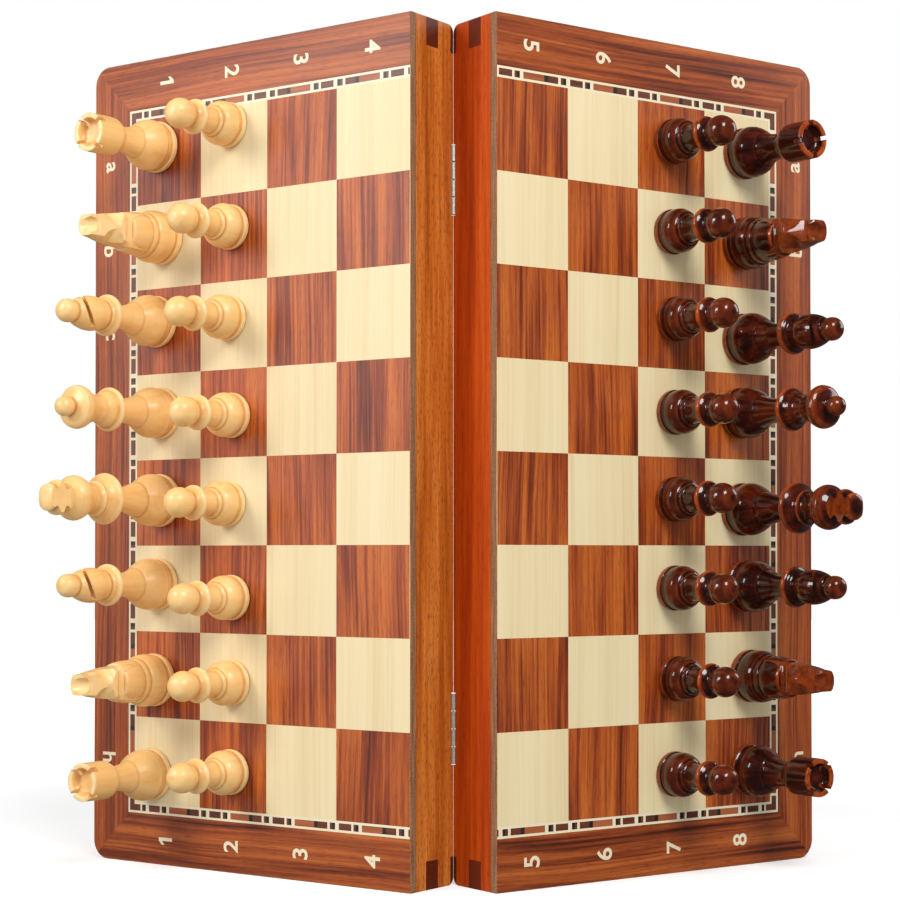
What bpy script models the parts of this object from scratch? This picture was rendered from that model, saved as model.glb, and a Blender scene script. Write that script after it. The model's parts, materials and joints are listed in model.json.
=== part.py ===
"""Folding magnetic chess set: two hinged trays with veneered playing panels, and 32 turned pieces.

World frame: the set stands like an open book on its h-file end. +Z runs along the hinge line
towards the a-file, -Y is the side the groove between the two spine walls opens to, and white's
half lies at -X. The origin is under the middle of the set's box.

Each half is drawn in its own flat frame: u runs away from the hinge line, d rises from the rim
to the playing face, and z runs along the hinge line. place() folds it to its resting angle.
"""

import math

import bmesh
import bpy
from mathutils import Matrix, Vector

MM = 0.001

# Driving dimensions
SQUARE = 32.4 * MM
BOARD = 304.8 * MM
HALF_DEPTH = 25.4 * MM
PANEL_THICKNESS = 3.4 * MM
RAIL_THICKNESS = 10.0 * MM
LEAN = math.radians(35.7)

GAP = 0.3 * MM
HALF_WIDTH = BOARD / 2
RAIL_HEIGHT = HALF_DEPTH - PANEL_THICKNESS - GAP
CORNER_RADIUS = 7.0 * MM
RIM_ROUNDING = 3.0 * MM
END_MARGIN = (BOARD - 8 * SQUARE) / 2

# Finger joints: heights above the rim where one rail's finger gives way to the other's
FINGER_LEVELS = [0.0, 1.8 * MM, 9.2 * MM, 16.3 * MM, RAIL_HEIGHT]

# Inner sheets, measured down from the panel
STEEL_THICKNESS = 0.5 * MM
FELT_THICKNESS = 1.2 * MM

# Butt hinges on the rim corner of the spine walls
HINGE_FROM_END = 55.0 * MM
KNUCKLE_RADIUS = 0.95 * MM
KNUCKLE_BORE = 0.55 * MM
KNUCKLE_LENGTH = 6.0 * MM
KNUCKLES = 4
PIN_RADIUS = 0.27 * MM
LEAF_REACH = 8.8 * MM
LEAF_THICKNESS = 0.7 * MM
HINGE_LENGTH = KNUCKLES * KNUCKLE_LENGTH + (KNUCKLES - 1) * GAP
MORTISE_LENGTH = HINGE_LENGTH + 3.2 * MM
MORTISE_DEPTH = KNUCKLE_RADIUS + GAP
TONGUE_START = KNUCKLE_BORE + 0.15 * MM
TONGUE_OVERLAP = 0.4 * MM
SCREW_HEAD_RADIUS = 1.4 * MM
SCREW_SHANK_RADIUS = 0.7 * MM
SCREW_HEAD_LEVEL = GAP + 0.05 * MM
SCREW_HEAD_EDGE = 0.15 * MM
SCREW_HEAD_DEPTH = 0.75 * MM
SCREW_LENGTH = 6.5 * MM
SCREW_POINT = 1.0 * MM
SCREW_REACH = 5.6 * MM
SCREW_SPREAD = 7.0 * MM

# How far cutters run past the faces they cut through
BEYOND = 1.0 * MM

TURNED_SIDES = 12
PAWN_SIDES = 10
SMALL_SIDES = 12
SCREW_SIDES = 8

FILES = "abcdefgh"
BACK_RANK = ["rook", "knight", "bishop", "queen", "king", "bishop", "knight", "rook"]

# How far the resting set reaches in front of its hinge line, to the panels' spine edges, and
# behind it, to the rounded rims of the outer rails; the origin is under the middle of the two
FRONT_REACH = HALF_DEPTH * math.cos(LEAN) - GAP * math.sin(LEAN)
BACK_REACH = (
    (HALF_WIDTH - RIM_ROUNDING) * math.sin(LEAN)
    - (GAP + RIM_ROUNDING) * math.cos(LEAN)
    + RIM_ROUNDING
)
HINGE_Y = (FRONT_REACH - BACK_REACH) / 2

# name: (base colour, roughness, metallic)
MATERIALS = {
    "boxwood": ((0.80, 0.52, 0.24), 0.35, 0.0),
    "rosewood": ((0.16, 0.03, 0.015), 0.2, 0.0),
    "panel_veneer": ((0.38, 0.14, 0.06), 0.4, 0.0),
    "light_mahogany": ((0.55, 0.25, 0.09), 0.45, 0.0),
    "red_mahogany": ((0.42, 0.11, 0.03), 0.45, 0.0),
    "nickel": ((0.75, 0.70, 0.60), 0.3, 1.0),
    "steel": ((0.55, 0.56, 0.58), 0.4, 1.0),
    "green_felt": ((0.02, 0.12, 0.06), 0.95, 0.0),
}


def clear_scene():
    for old in list(bpy.data.objects):
        bpy.data.objects.remove(old)


def make_material(name):
    colour, roughness, metallic = MATERIALS[name]
    material = bpy.data.materials.new(name)
    material.use_nodes = True
    shader = material.node_tree.nodes["Principled BSDF"]
    shader.inputs["Base Color"].default_value = (*colour, 1.0)
    shader.inputs["Roughness"].default_value = roughness
    shader.inputs["Metallic"].default_value = metallic
    material.diffuse_color = (*colour, 1.0)
    return material


def make_empty(name, location, turn):
    empty = bpy.data.objects.new(name, None)
    empty.location = location
    empty.rotation_euler = (0.0, 0.0, turn)
    bpy.context.scene.collection.objects.link(empty)
    return empty


def mesh_from(bm, name):
    """Turns a bmesh into a mesh with its faces pointing out, and frees the bmesh."""
    bmesh.ops.recalc_face_normals(bm, faces=bm.faces)
    mesh = bpy.data.meshes.new(name)
    bm.to_mesh(mesh)
    bm.free()
    return mesh


def link(name, mesh, material=None):
    thing = bpy.data.objects.new(name, mesh)
    bpy.context.scene.collection.objects.link(thing)
    if material:
        mesh.materials.clear()
        mesh.materials.append(material)
    return thing


def box_mesh(low, high):
    """A box between two corners."""
    bm = bmesh.new()
    size = Vector(high) - Vector(low)
    middle = (Vector(high) + Vector(low)) / 2
    stretch = Matrix.Translation(middle) @ Matrix.Diagonal((*size, 1.0))
    bmesh.ops.create_cube(bm, size=1.0, matrix=stretch)
    return mesh_from(bm, "box")


def prism_mesh(outline, direction):
    """Extrudes a closed outline of points along a direction."""
    bm = bmesh.new()
    face = bm.faces.new([bm.verts.new(point) for point in outline])
    extruded = bmesh.ops.extrude_face_region(bm, geom=[face])
    moved = [item for item in extruded["geom"] if isinstance(item, bmesh.types.BMVert)]
    bmesh.ops.translate(bm, verts=moved, vec=direction)
    return mesh_from(bm, "prism")


def turned_mesh(profile, sides):
    """Spins a profile of (radius, height) points round Z. A radius of 0 closes an end."""
    bm = bmesh.new()
    points = [bm.verts.new((radius, 0.0, height)) for radius, height in profile]
    edges = [bm.edges.new(pair) for pair in zip(points, points[1:])]
    bmesh.ops.spin(
        bm, geom=points + edges, cent=(0, 0, 0), axis=(0, 0, 1), angle=2 * math.pi, steps=sides
    )
    bmesh.ops.remove_doubles(bm, verts=bm.verts, dist=0.00001)
    return mesh_from(bm, "turned")


def combine(mesh, operation, others):
    """Applies one exact Boolean after another and returns the new mesh."""
    base = link("boolean_base", mesh)
    tools = [link("boolean_tool", other) for other in others]
    for tool in tools:
        modifier = base.modifiers.new("cut", "BOOLEAN")
        modifier.operation = operation
        modifier.solver = "EXACT"
        modifier.object = tool
    graph = bpy.context.evaluated_depsgraph_get()
    result = bpy.data.meshes.new_from_object(base.evaluated_get(graph))
    for thing in [base, *tools]:
        bpy.data.objects.remove(thing)
    return result


def smooth(mesh, angle=30.0):
    mesh.shade_smooth()
    mesh.set_sharp_from_angle(angle=math.radians(angle))


# ---- one half of the board, drawn flat in (u, d, z) ----


def half_outline():
    """The plan of a half: square at the spine, rounded at the two outer corners."""
    points = [(GAP, 0.0)]
    arc_steps = 6
    centre_u = HALF_WIDTH - CORNER_RADIUS
    for centre_z, start in ((CORNER_RADIUS, -90), (BOARD - CORNER_RADIUS, 0)):
        for step in range(arc_steps + 1):
            angle = math.radians(start + 90 * step / arc_steps)
            u = centre_u + CORNER_RADIUS * math.cos(angle)
            z = centre_z + CORNER_RADIUS * math.sin(angle)
            points.append((u, z))
    points.append((GAP, BOARD))
    return points


def half_slab(low, high):
    outline = [(u, low, z) for u, z in half_outline()]
    return prism_mesh(outline, (0, high - low, 0))


def rail_envelope():
    """The outer shape of a half's four rails together, with its rim edge rounded over."""
    bm = bmesh.new()
    bm.from_mesh(half_slab(GAP, RAIL_HEIGHT))
    rim_edges = []
    for edge in bm.edges:
        on_rim = all(vert.co.y < GAP * 1.5 for vert in edge.verts)
        at_spine = all(vert.co.x < GAP * 1.5 for vert in edge.verts)
        if on_rim and not at_spine:
            rim_edges.append(edge)
    bmesh.ops.bevel(
        bm, geom=rim_edges, offset=RIM_ROUNDING, segments=3, profile=0.5, affect="EDGES"
    )
    return mesh_from(bm, "envelope")


def comb_outline(start, end, own_levels):
    """A rail seen from the side, as (position, height): its ends reach past the corners on its
    own finger levels and stop short of the other rail's thickness on the rest."""
    top_level = len(FINGER_LEVELS) - 2
    near_side = []
    far_side = []
    for level, (low, high) in enumerate(zip(FINGER_LEVELS, FINGER_LEVELS[1:])):
        is_own = level in own_levels
        inset = -RAIL_THICKNESS if is_own else RAIL_THICKNESS + GAP
        trim = GAP / 2 if is_own else -GAP / 2
        bottom = low + trim if level > 0 else low - RAIL_THICKNESS
        top = high - trim if level < top_level else high + RAIL_THICKNESS
        near_side += [(start + inset, bottom), (start + inset, top)]
        far_side += [(end - inset, bottom), (end - inset, top)]
    return near_side + far_side[::-1]


def rail_mesh(region):
    return combine(rail_envelope(), "INTERSECT", [region])


def long_rail_mesh(inner, outer):
    """A rail along the hinge line, between two values of u. Its fingers are the wide pair."""
    outline = [(inner, height, z) for z, height in comb_outline(0.0, BOARD, (1, 3))]
    return rail_mesh(prism_mesh(outline, (outer - inner, 0, 0)))


def end_rail_mesh(low, high):
    """A rail across an end, between two values of z."""
    outline = [(u, height, low) for u, height in comb_outline(GAP, HALF_WIDTH, (0, 2))]
    return rail_mesh(prism_mesh(outline, (0, 0, high - low)))


def hinge_heights():
    return [HINGE_FROM_END, BOARD - HINGE_FROM_END]


def screw_heights(hinge_z):
    return [hinge_z - SCREW_SPREAD, hinge_z + SCREW_SPREAD]


def along_d(mesh, u, z):
    """Stands a mesh that was turned round Z up along d, at a place on the rim."""
    mesh.transform(Matrix.Translation((u, 0, z)) @ Matrix.Rotation(math.radians(-90), 4, "X"))
    return mesh


def spine_cutters():
    """Hinge mortises, leaf recesses and screw holes of a spine rail."""
    cutters = []
    recess_top = GAP + LEAF_THICKNESS + GAP
    for hinge_z in hinge_heights():
        low, high = hinge_z - MORTISE_LENGTH / 2, hinge_z + MORTISE_LENGTH / 2
        cutters.append(box_mesh((-BEYOND, -BEYOND, low), (MORTISE_DEPTH, MORTISE_DEPTH, high)))
        low, high = hinge_z - HINGE_LENGTH / 2 - GAP, hinge_z + HINGE_LENGTH / 2 + GAP
        cutters.append(box_mesh((-BEYOND, -BEYOND, low), (LEAF_REACH + GAP, recess_top, high)))
        for z in screw_heights(hinge_z):
            radius = SCREW_SHANK_RADIUS + GAP
            top = SCREW_LENGTH + 2 * GAP
            hole = turned_mesh([(0, 0), (radius, 0), (radius, top), (0, top)], SMALL_SIDES)
            cutters.append(along_d(hole, SCREW_REACH, z))
    return cutters


def spine_rail_mesh():
    rail = long_rail_mesh(-BEYOND, RAIL_THICKNESS)
    return combine(rail, "DIFFERENCE", spine_cutters())


def inner_sheet_mesh(top, thickness):
    """A flat sheet that fills the tray between its rails, clear of them all round."""
    clear = RAIL_THICKNESS + GAP
    low = (clear, top - thickness, clear)
    high = (HALF_WIDTH - clear, top, BOARD - clear)
    return box_mesh(low, high)


def knuckle_mesh(low, high):
    """One tube of a hinge knuckle with the tongue that joins it to its leaf."""
    tube = turned_mesh(
        [
            (KNUCKLE_RADIUS, low),
            (KNUCKLE_RADIUS, high),
            (KNUCKLE_BORE, high),
            (KNUCKLE_BORE, low),
            (KNUCKLE_RADIUS, low),
        ],
        SMALL_SIDES,
    )
    reach = MORTISE_DEPTH + TONGUE_OVERLAP
    tongue = box_mesh((TONGUE_START, GAP, low), (reach, GAP + LEAF_THICKNESS, high))
    return combine(tube, "UNION", [tongue])


def leaf_mesh(hinge_z, first_knuckle):
    """A hinge leaf: a plate with every second knuckle, and two screw holes."""
    low_end = hinge_z - HINGE_LENGTH / 2
    plate = box_mesh(
        (MORTISE_DEPTH, GAP, low_end), (LEAF_REACH, GAP + LEAF_THICKNESS, low_end + HINGE_LENGTH)
    )
    knuckles = []
    for index in range(first_knuckle, KNUCKLES, 2):
        low = low_end + index * (KNUCKLE_LENGTH + GAP)
        knuckles.append(knuckle_mesh(low, low + KNUCKLE_LENGTH))
    leaf = combine(plate, "UNION", knuckles)
    holes = []
    radius = SCREW_HEAD_RADIUS + GAP
    low, high = -BEYOND, LEAF_THICKNESS + BEYOND
    for z in screw_heights(hinge_z):
        hole = turned_mesh([(0, low), (radius, low), (radius, high), (0, high)], SMALL_SIDES)
        holes.append(along_d(hole, SCREW_REACH, z))
    return combine(leaf, "DIFFERENCE", holes)


def screw_mesh(z):
    """A countersunk screw, head just below the rim."""
    profile = [
        (0, SCREW_HEAD_LEVEL),
        (SCREW_HEAD_RADIUS, SCREW_HEAD_LEVEL),
        (SCREW_HEAD_RADIUS, SCREW_HEAD_LEVEL + SCREW_HEAD_EDGE),
        (SCREW_SHANK_RADIUS, SCREW_HEAD_LEVEL + SCREW_HEAD_DEPTH),
        (SCREW_SHANK_RADIUS, SCREW_LENGTH - SCREW_POINT),
        (0, SCREW_LENGTH),
    ]
    return along_d(turned_mesh(profile, SCREW_SIDES), SCREW_REACH, z)


def pin_mesh(hinge_z):
    reach = HINGE_LENGTH / 2
    profile = [
        (0, hinge_z - reach),
        (PIN_RADIUS, hinge_z - reach),
        (PIN_RADIUS, hinge_z + reach),
        (0, hinge_z + reach),
    ]
    return turned_mesh(profile, SMALL_SIDES)


def place(name, mesh, side, pivot, material):
    """Folds a mesh drawn in (u, d, z) on to its half: side is -1 for white's half, +1 for black's."""
    mirror = Matrix.Diagonal((side, -1.0, 1.0, 1.0))
    mesh.transform(mirror)
    if mirror.determinant() < 0:
        mesh.flip_normals()
    smooth(mesh)
    thing = link(name, mesh, material)
    thing.parent = pivot
    return thing


def build_tray(colour, side, pivot, materials, rail_material):
    """The panel, rails, sheets, hinge leaves and screws that belong to one half."""
    wood = materials[rail_material]
    panel = half_slab(HALF_DEPTH - PANEL_THICKNESS, HALF_DEPTH)
    place(f"{colour}_playing_panel", panel, side, pivot, materials["panel_veneer"])
    place(f"{colour}_spine_rail", spine_rail_mesh(), side, pivot, wood)
    outer_rail = long_rail_mesh(HALF_WIDTH - RAIL_THICKNESS, HALF_WIDTH + BEYOND)
    place(f"{colour}_outer_rail", outer_rail, side, pivot, wood)
    h_end_rail = end_rail_mesh(-BEYOND, RAIL_THICKNESS)
    place(f"{colour}_h_end_rail", h_end_rail, side, pivot, wood)
    a_end_rail = end_rail_mesh(BOARD - RAIL_THICKNESS, BOARD + BEYOND)
    place(f"{colour}_a_end_rail", a_end_rail, side, pivot, wood)

    steel_top = HALF_DEPTH - PANEL_THICKNESS - GAP
    steel = inner_sheet_mesh(steel_top, STEEL_THICKNESS)
    place(f"{colour}_steel_sheet", steel, side, pivot, materials["steel"])
    felt = inner_sheet_mesh(steel_top - STEEL_THICKNESS - GAP, FELT_THICKNESS)
    place(f"{colour}_felt_liner", felt, side, pivot, materials["green_felt"])

    first_knuckle = 0 if side < 0 else 1
    for end, hinge_z in zip("ha", hinge_heights()):
        leaf = leaf_mesh(hinge_z, first_knuckle)
        place(f"{colour}_hinge_leaf_{end}", leaf, side, pivot, materials["nickel"])
        for where, z in zip(("lower", "upper"), screw_heights(hinge_z)):
            name = f"{colour}_hinge_screw_{end}_{where}"
            place(name, screw_mesh(z), side, pivot, materials["nickel"])


def build_pins(pivot, materials):
    for end, hinge_z in zip("ha", hinge_heights()):
        place(f"hinge_pin_{end}", pin_mesh(hinge_z), -1, pivot, materials["nickel"])


# ---- the pieces, turned round Z with the base at 0, in millimetres until scaled ----


def scaled(profile):
    return [(radius * MM, height * MM) for radius, height in profile]


def foot(radius):
    """The flange, cove and drum that every large piece starts with, up to its shoulder."""
    return [
        (0.0, 0.0),
        (radius, 0.0),
        (radius, 1.8),
        (radius - 0.6, 2.3),
        (radius - 0.5, 4.5),
        (radius - 0.1, 5.1),
        (radius - 0.2, 6.8),
        (radius - 1.2, 9.8),
        (radius - 3.0, 12.9),
        (radius - 3.6, 13.5),
    ]


KING_RADIUS = 9.9
KING_TOP = [
    (6.1, 15.4),
    (4.6, 21.0),
    (4.7, 27.4),
    (9.0, 29.2),
    (9.3, 30.8),
    (6.7, 34.4),
    (5.4, 37.2),
    (5.6, 39.6),
    (8.1, 45.0),
    (8.0, 46.8),
    (4.6, 50.6),
    (4.6, 52.0),
    (6.3, 53.4),
    (6.3, 54.6),
    (4.5, 56.4),
    (4.9, 57.6),
    (4.4, 58.8),
    (0.0, 59.4),
]
CROSS_HALF_THICKNESS = 3.3
CROSS_FOOT = 49.8

QUEEN_RADIUS = 9.6
QUEEN_TOP = [
    (4.7, 19.0),
    (4.7, 25.6),
    (7.6, 26.9),
    (8.0, 28.4),
    (6.6, 30.2),
    (5.4, 33.2),
    (5.0, 36.4),
    (7.4, 42.2),
    (7.9, 44.2),
    (7.3, 45.9),
    (2.9, 47.4),
    (3.6, 50.0),
    (2.6, 52.6),
    (0.0, 53.7),
]

BISHOP_RADIUS = 9.7
BISHOP_TOP = [
    (4.5, 19.0),
    (4.6, 24.4),
    (7.3, 26.0),
    (7.6, 27.7),
    (5.3, 29.9),
    (6.3, 34.4),
    (6.2, 38.2),
    (3.7, 44.1),
    (4.2, 46.8),
    (3.1, 49.7),
    (0.0, 51.0),
]
MITRE_SLIT_HEIGHT = 37.0
MITRE_SLIT_START = 1.0
MITRE_SLIT_WIDTH = 1.2
MITRE_SLIT_SLOPE = math.radians(43)

ROOK_RADIUS = 9.6
ROOK_HEIGHT = 37.2
ROOK_TOP = [
    (4.8, 18.0),
    (4.7, 22.4),
    (6.4, 24.6),
    (7.1, 27.8),
    (7.0, ROOK_HEIGHT),
    (5.3, ROOK_HEIGHT),
    (4.4, 35.6),
    (0.0, 34.6),
]
BATTLEMENT_SLOT = 1.6
BATTLEMENT_DEPTH = 3.0

PAWN_PROFILE = [
    (0.0, 0.0),
    (8.3, 0.0),
    (8.3, 1.8),
    (7.8, 2.2),
    (8.1, 3.8),
    (8.0, 6.4),
    (6.0, 9.4),
    (5.4, 9.8),
    (4.9, 10.9),
    (4.4, 12.6),
    (4.5, 17.2),
    (6.3, 18.6),
    (6.2, 19.8),
    (4.2, 22.3),
    (5.4, 25.2),
    (5.3, 28.0),
    (3.4, 31.0),
    (0.0, 32.1),
]

KNIGHT_FOOT = [
    (0.0, 0.0),
    (9.9, 0.0),
    (9.9, 2.0),
    (9.2, 2.8),
    (9.7, 4.0),
    (9.6, 8.0),
    (8.4, 10.9),
    (8.3, 12.4),
    (7.6, 13.2),
    (0.0, 13.2),
]

# The horse's head from the side, as (forward, height), and half its thickness low and high
KNIGHT_HEAD = [
    (7.2, 12.2),
    (7.4, 17.0),
    (6.2, 22.5),
    (5.6, 25.4),
    (7.8, 27.0),
    (8.2, 29.4),
    (6.8, 32.0),
    (4.8, 37.4),
    (3.8, 41.8),
    (0.6, 40.6),
    (-2.6, 41.0),
    (-5.6, 35.6),
    (-7.4, 26.0),
    (-7.6, 12.2),
]
KNIGHT_SHOULDER = 12.2
KNIGHT_LOW_HALF = 7.2
KNIGHT_HIGH_HALF = 3.6
KNIGHT_HEIGHT = 41.8

# How far cutters of the small pieces run, wider and higher than any piece
CUTTER_REACH = 12.0
CUTTER_TOP = 70.0


def piece_box(low, high):
    """A cutter between two corners given in a piece's millimetres."""
    return box_mesh([value * MM for value in low], [value * MM for value in high])


def king_mesh():
    """The finial is turned, then sawn flat on two sides to read as a cross."""
    body = turned_mesh(scaled(foot(KING_RADIUS) + KING_TOP), TURNED_SIDES)
    flat, wide = CROSS_HALF_THICKNESS, CUTTER_REACH
    front = piece_box((flat, -wide, CROSS_FOOT), (wide, wide, CUTTER_TOP))
    back = piece_box((-wide, -wide, CROSS_FOOT), (-flat, wide, CUTTER_TOP))
    return combine(body, "DIFFERENCE", [front, back])


def queen_mesh():
    return turned_mesh(scaled(foot(QUEEN_RADIUS) + QUEEN_TOP), TURNED_SIDES)


def bishop_mesh():
    """The saw cut opens towards +X and slopes down to the middle of the mitre."""
    body = turned_mesh(scaled(foot(BISHOP_RADIUS) + BISHOP_TOP), TURNED_SIDES)
    half = MITRE_SLIT_WIDTH / 2
    slit = piece_box((MITRE_SLIT_START, -CUTTER_REACH, -half), (CUTTER_REACH, CUTTER_REACH, half))
    slope = Matrix.Rotation(-MITRE_SLIT_SLOPE, 4, "Y")
    slit.transform(Matrix.Translation((0, 0, MITRE_SLIT_HEIGHT * MM)) @ slope)
    return combine(body, "DIFFERENCE", [slit])


def rook_mesh():
    body = turned_mesh(scaled(foot(ROOK_RADIUS) + ROOK_TOP), TURNED_SIDES)
    half, wide = BATTLEMENT_SLOT / 2, CUTTER_REACH
    low = ROOK_HEIGHT - BATTLEMENT_DEPTH
    along_x = piece_box((-wide, -half, low), (wide, half, CUTTER_TOP))
    along_y = piece_box((-half, -wide, low), (half, wide, CUTTER_TOP))
    return combine(body, "DIFFERENCE", [along_x, along_y])


def knight_half_thickness(height):
    share = (height - KNIGHT_SHOULDER) / (KNIGHT_HEIGHT - KNIGHT_SHOULDER)
    return KNIGHT_LOW_HALF + (KNIGHT_HIGH_HALF - KNIGHT_LOW_HALF) * share


def knight_mesh():
    """A turned foot with a sawn horse's head that narrows towards its ears. It faces +X."""
    bm = bmesh.new()
    cheeks = []
    for side in (-1, 1):
        ring = []
        for forward, height in KNIGHT_HEAD:
            across = side * knight_half_thickness(height)
            ring.append(bm.verts.new((forward * MM, across * MM, height * MM)))
        cheeks.append(ring)
        bm.faces.new(ring)
    count = len(KNIGHT_HEAD)
    for index in range(count):
        following = (index + 1) % count
        bm.faces.new(
            (cheeks[0][index], cheeks[0][following], cheeks[1][following], cheeks[1][index])
        )
    bmesh.ops.triangulate(bm, faces=bm.faces)
    head = mesh_from(bm, "head")
    base = turned_mesh(scaled(KNIGHT_FOOT), TURNED_SIDES)
    return combine(base, "UNION", [head])


def pawn_mesh():
    return turned_mesh(scaled(PAWN_PROFILE), PAWN_SIDES)


PIECE_MESHES = {
    "king": king_mesh,
    "queen": queen_mesh,
    "bishop": bishop_mesh,
    "rook": rook_mesh,
    "knight": knight_mesh,
    "pawn": pawn_mesh,
}


def piece_name(colour, kind, file_index):
    """Kings and queens are single; the others carry the letter of the file they start on."""
    if kind in ("king", "queen"):
        return f"{colour}_{kind}"
    return f"{colour}_{kind}_{FILES[file_index]}"


# Where the pieces stand from the middles of their squares, in millimetres: outwards from the
# spine and towards the a-file. They are set down by hand, so no two stand quite alike.
NUDGES = {
    "white_rook_a": (4.9, 4.8),
    "white_knight_b": (2.5, 2.4),
    "white_bishop_c": (5.2, 3.5),
    "white_queen": (3.1, 1.2),
    "white_king": (3.2, 0.8),
    "white_bishop_f": (4.4, 1.7),
    "white_knight_g": (6.0, -1.9),
    "white_rook_h": (7.3, -5.1),
    "white_pawn_a": (1.6, 9.0),
    "white_pawn_b": (0.6, 3.6),
    "white_pawn_c": (1.8, 2.7),
    "white_pawn_d": (-0.3, -0.9),
    "white_pawn_e": (1.8, -0.9),
    "white_pawn_f": (-0.2, -2.9),
    "white_pawn_g": (-0.3, -1.7),
    "white_pawn_h": (0.1, -1.9),
    "black_rook_a": (2.1, 1.9),
    "black_knight_b": (1.8, 0.2),
    "black_bishop_c": (1.5, -3.4),
    "black_queen": (0.0, 1.1),
    "black_king": (0.8, -2.6),
    "black_bishop_f": (2.6, 1.0),
    "black_knight_g": (5.0, -0.4),
    "black_rook_h": (4.8, -3.3),
    "black_pawn_a": (-1.1, 2.4),
    "black_pawn_b": (-1.3, 1.6),
    "black_pawn_c": (-0.1, 2.0),
    "black_pawn_d": (-0.2, 0.2),
    "black_pawn_e": (-0.8, 0.6),
    "black_pawn_f": (-0.4, 0.6),
    "black_pawn_g": (0.4, -0.2),
    "black_pawn_h": (-0.6, -2.6),
}

# Round pieces stand turned at any angle. Positive angles turn a cut from the spine to the a-file.
TURNS = {
    "white_rook_a": 38,
    "white_rook_h": 45,
    "black_rook_a": -10,
    "black_rook_h": 45,
    "white_bishop_c": 30,
    "white_bishop_f": 30,
    "black_bishop_c": -15,
    "black_bishop_f": -5,
}


def stand_piece(name, mesh, side, squares_out, file_index, pivot):
    """Stands a piece on its square, square to the playing face. A piece that is not turned faces
    its own +X towards the spine."""
    outwards, towards_a = NUDGES[name]
    u = GAP + (squares_out + 0.5) * SQUARE + outwards * MM
    z = BOARD - END_MARGIN - (file_index + 0.5) * SQUARE + towards_a * MM
    thing = link(name, mesh)
    upright = Matrix.Rotation(math.radians(90), 4, "X")
    facing = Matrix.Rotation(0.0 if side < 0 else math.pi, 4, "Z")
    spin = Matrix.Rotation(math.radians(-side * TURNS.get(name, 0)), 4, "Z")
    place_on_board = Matrix.Translation((side * u, -(HALF_DEPTH + GAP), z))
    thing.matrix_local = place_on_board @ upright @ facing @ spin
    thing.parent = pivot
    return thing


def build_pieces(colour, side, pivot, material):
    meshes = {}
    for kind, make in PIECE_MESHES.items():
        mesh = make()
        smooth(mesh, 40.0)
        mesh.materials.clear()
        mesh.materials.append(material)
        meshes[kind] = mesh
    for file_index, kind in enumerate(BACK_RANK):
        name = piece_name(colour, kind, file_index)
        stand_piece(name, meshes[kind], side, 3, file_index, pivot)
        name = piece_name(colour, "pawn", file_index)
        stand_piece(name, meshes["pawn"], side, 2, file_index, pivot)


def main():
    clear_scene()
    materials = {name: make_material(name) for name in MATERIALS}
    hinge_line = (0.0, HINGE_Y, 0.0)
    white_pivot = make_empty("white_half_pivot", hinge_line, -LEAN)
    black_pivot = make_empty("black_half_pivot", hinge_line, LEAN)
    build_tray("white", -1, white_pivot, materials, "light_mahogany")
    build_tray("black", 1, black_pivot, materials, "red_mahogany")
    build_pins(white_pivot, materials)
    build_pieces("white", -1, white_pivot, materials["boxwood"])
    build_pieces("black", 1, black_pivot, materials["rosewood"])


main()
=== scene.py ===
"""Looks for the folding magnetic chess set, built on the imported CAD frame.

Each half is built in its own flat frame, in millimetres: u away from the hinge line, d up from
the rim to the playing face, z along the hinge line. to_half() turns that into the half's local
coordinates, and half_matrix() folds it to its resting angle. Pieces are built round their own
axis with the base at 0 and +X towards the spine.
"""

import json
import math
import random

import bmesh
import bpy
from mathutils import Matrix, Vector


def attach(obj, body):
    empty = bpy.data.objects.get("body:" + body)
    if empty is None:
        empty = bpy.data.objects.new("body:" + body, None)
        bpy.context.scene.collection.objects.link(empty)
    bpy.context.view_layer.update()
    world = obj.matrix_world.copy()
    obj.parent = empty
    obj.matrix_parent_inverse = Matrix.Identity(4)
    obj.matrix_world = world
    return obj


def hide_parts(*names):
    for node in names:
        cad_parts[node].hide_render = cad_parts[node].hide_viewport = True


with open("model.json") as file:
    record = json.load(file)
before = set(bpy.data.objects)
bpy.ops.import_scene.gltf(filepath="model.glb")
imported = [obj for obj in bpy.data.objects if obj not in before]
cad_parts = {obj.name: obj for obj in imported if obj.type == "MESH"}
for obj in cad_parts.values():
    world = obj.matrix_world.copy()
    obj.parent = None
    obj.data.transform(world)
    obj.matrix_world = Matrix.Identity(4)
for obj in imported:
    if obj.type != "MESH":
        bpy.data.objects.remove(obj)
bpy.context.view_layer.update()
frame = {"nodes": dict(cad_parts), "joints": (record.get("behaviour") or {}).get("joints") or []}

MM = 0.001

FOLD = next(joint for joint in frame["joints"] if joint["name"] == "board_fold")
HINGE_Y = FOLD["pos_m"][1]
LEAN = math.radians(-FOLD["range_deg"][0]) / 2
SIDES = {"white": -1, "black": 1}

SQUARE = 32.4
BOARD = 304.8
HALF_WIDTH = 152.4
HALF_DEPTH = 25.4
PANEL_THICKNESS = 3.4
SPINE = 0.012
RAIL_TOP = HALF_DEPTH - PANEL_THICKNESS - 0.02
RAIL_THICKNESS = 10.0
CORNER_RADIUS = 7.0
RIM_ROUNDING = 3.0
FIELD_LOW = (BOARD - 8 * SQUARE) / 2
FIELD_HIGH = BOARD - FIELD_LOW
FINGER_LEVELS = [0.0, 1.8, 9.2, 16.3, 21.7]

HINGE_FROM_END = 55.0
KNUCKLE_RADIUS = 0.95
KNUCKLE_BORE = 0.55
PIN_RADIUS = 0.27
KNUCKLE_LENGTH = 6.0
KNUCKLE_PITCH = 6.3
HINGE_LENGTH = 24.9
MORTISE_LENGTH = 25.5
MORTISE_DEPTH = 1.25
LEAF_REACH = 8.8
LEAF_THICKNESS = 0.7
LEAF_CLEARANCE = 0.15
SCREW_REACH = 5.6
SCREW_SPREAD = 7.0
PIN_SOFTENING = 0.06
HINGE_PLACES = {"h": HINGE_FROM_END, "a": BOARD - HINGE_FROM_END}

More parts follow.
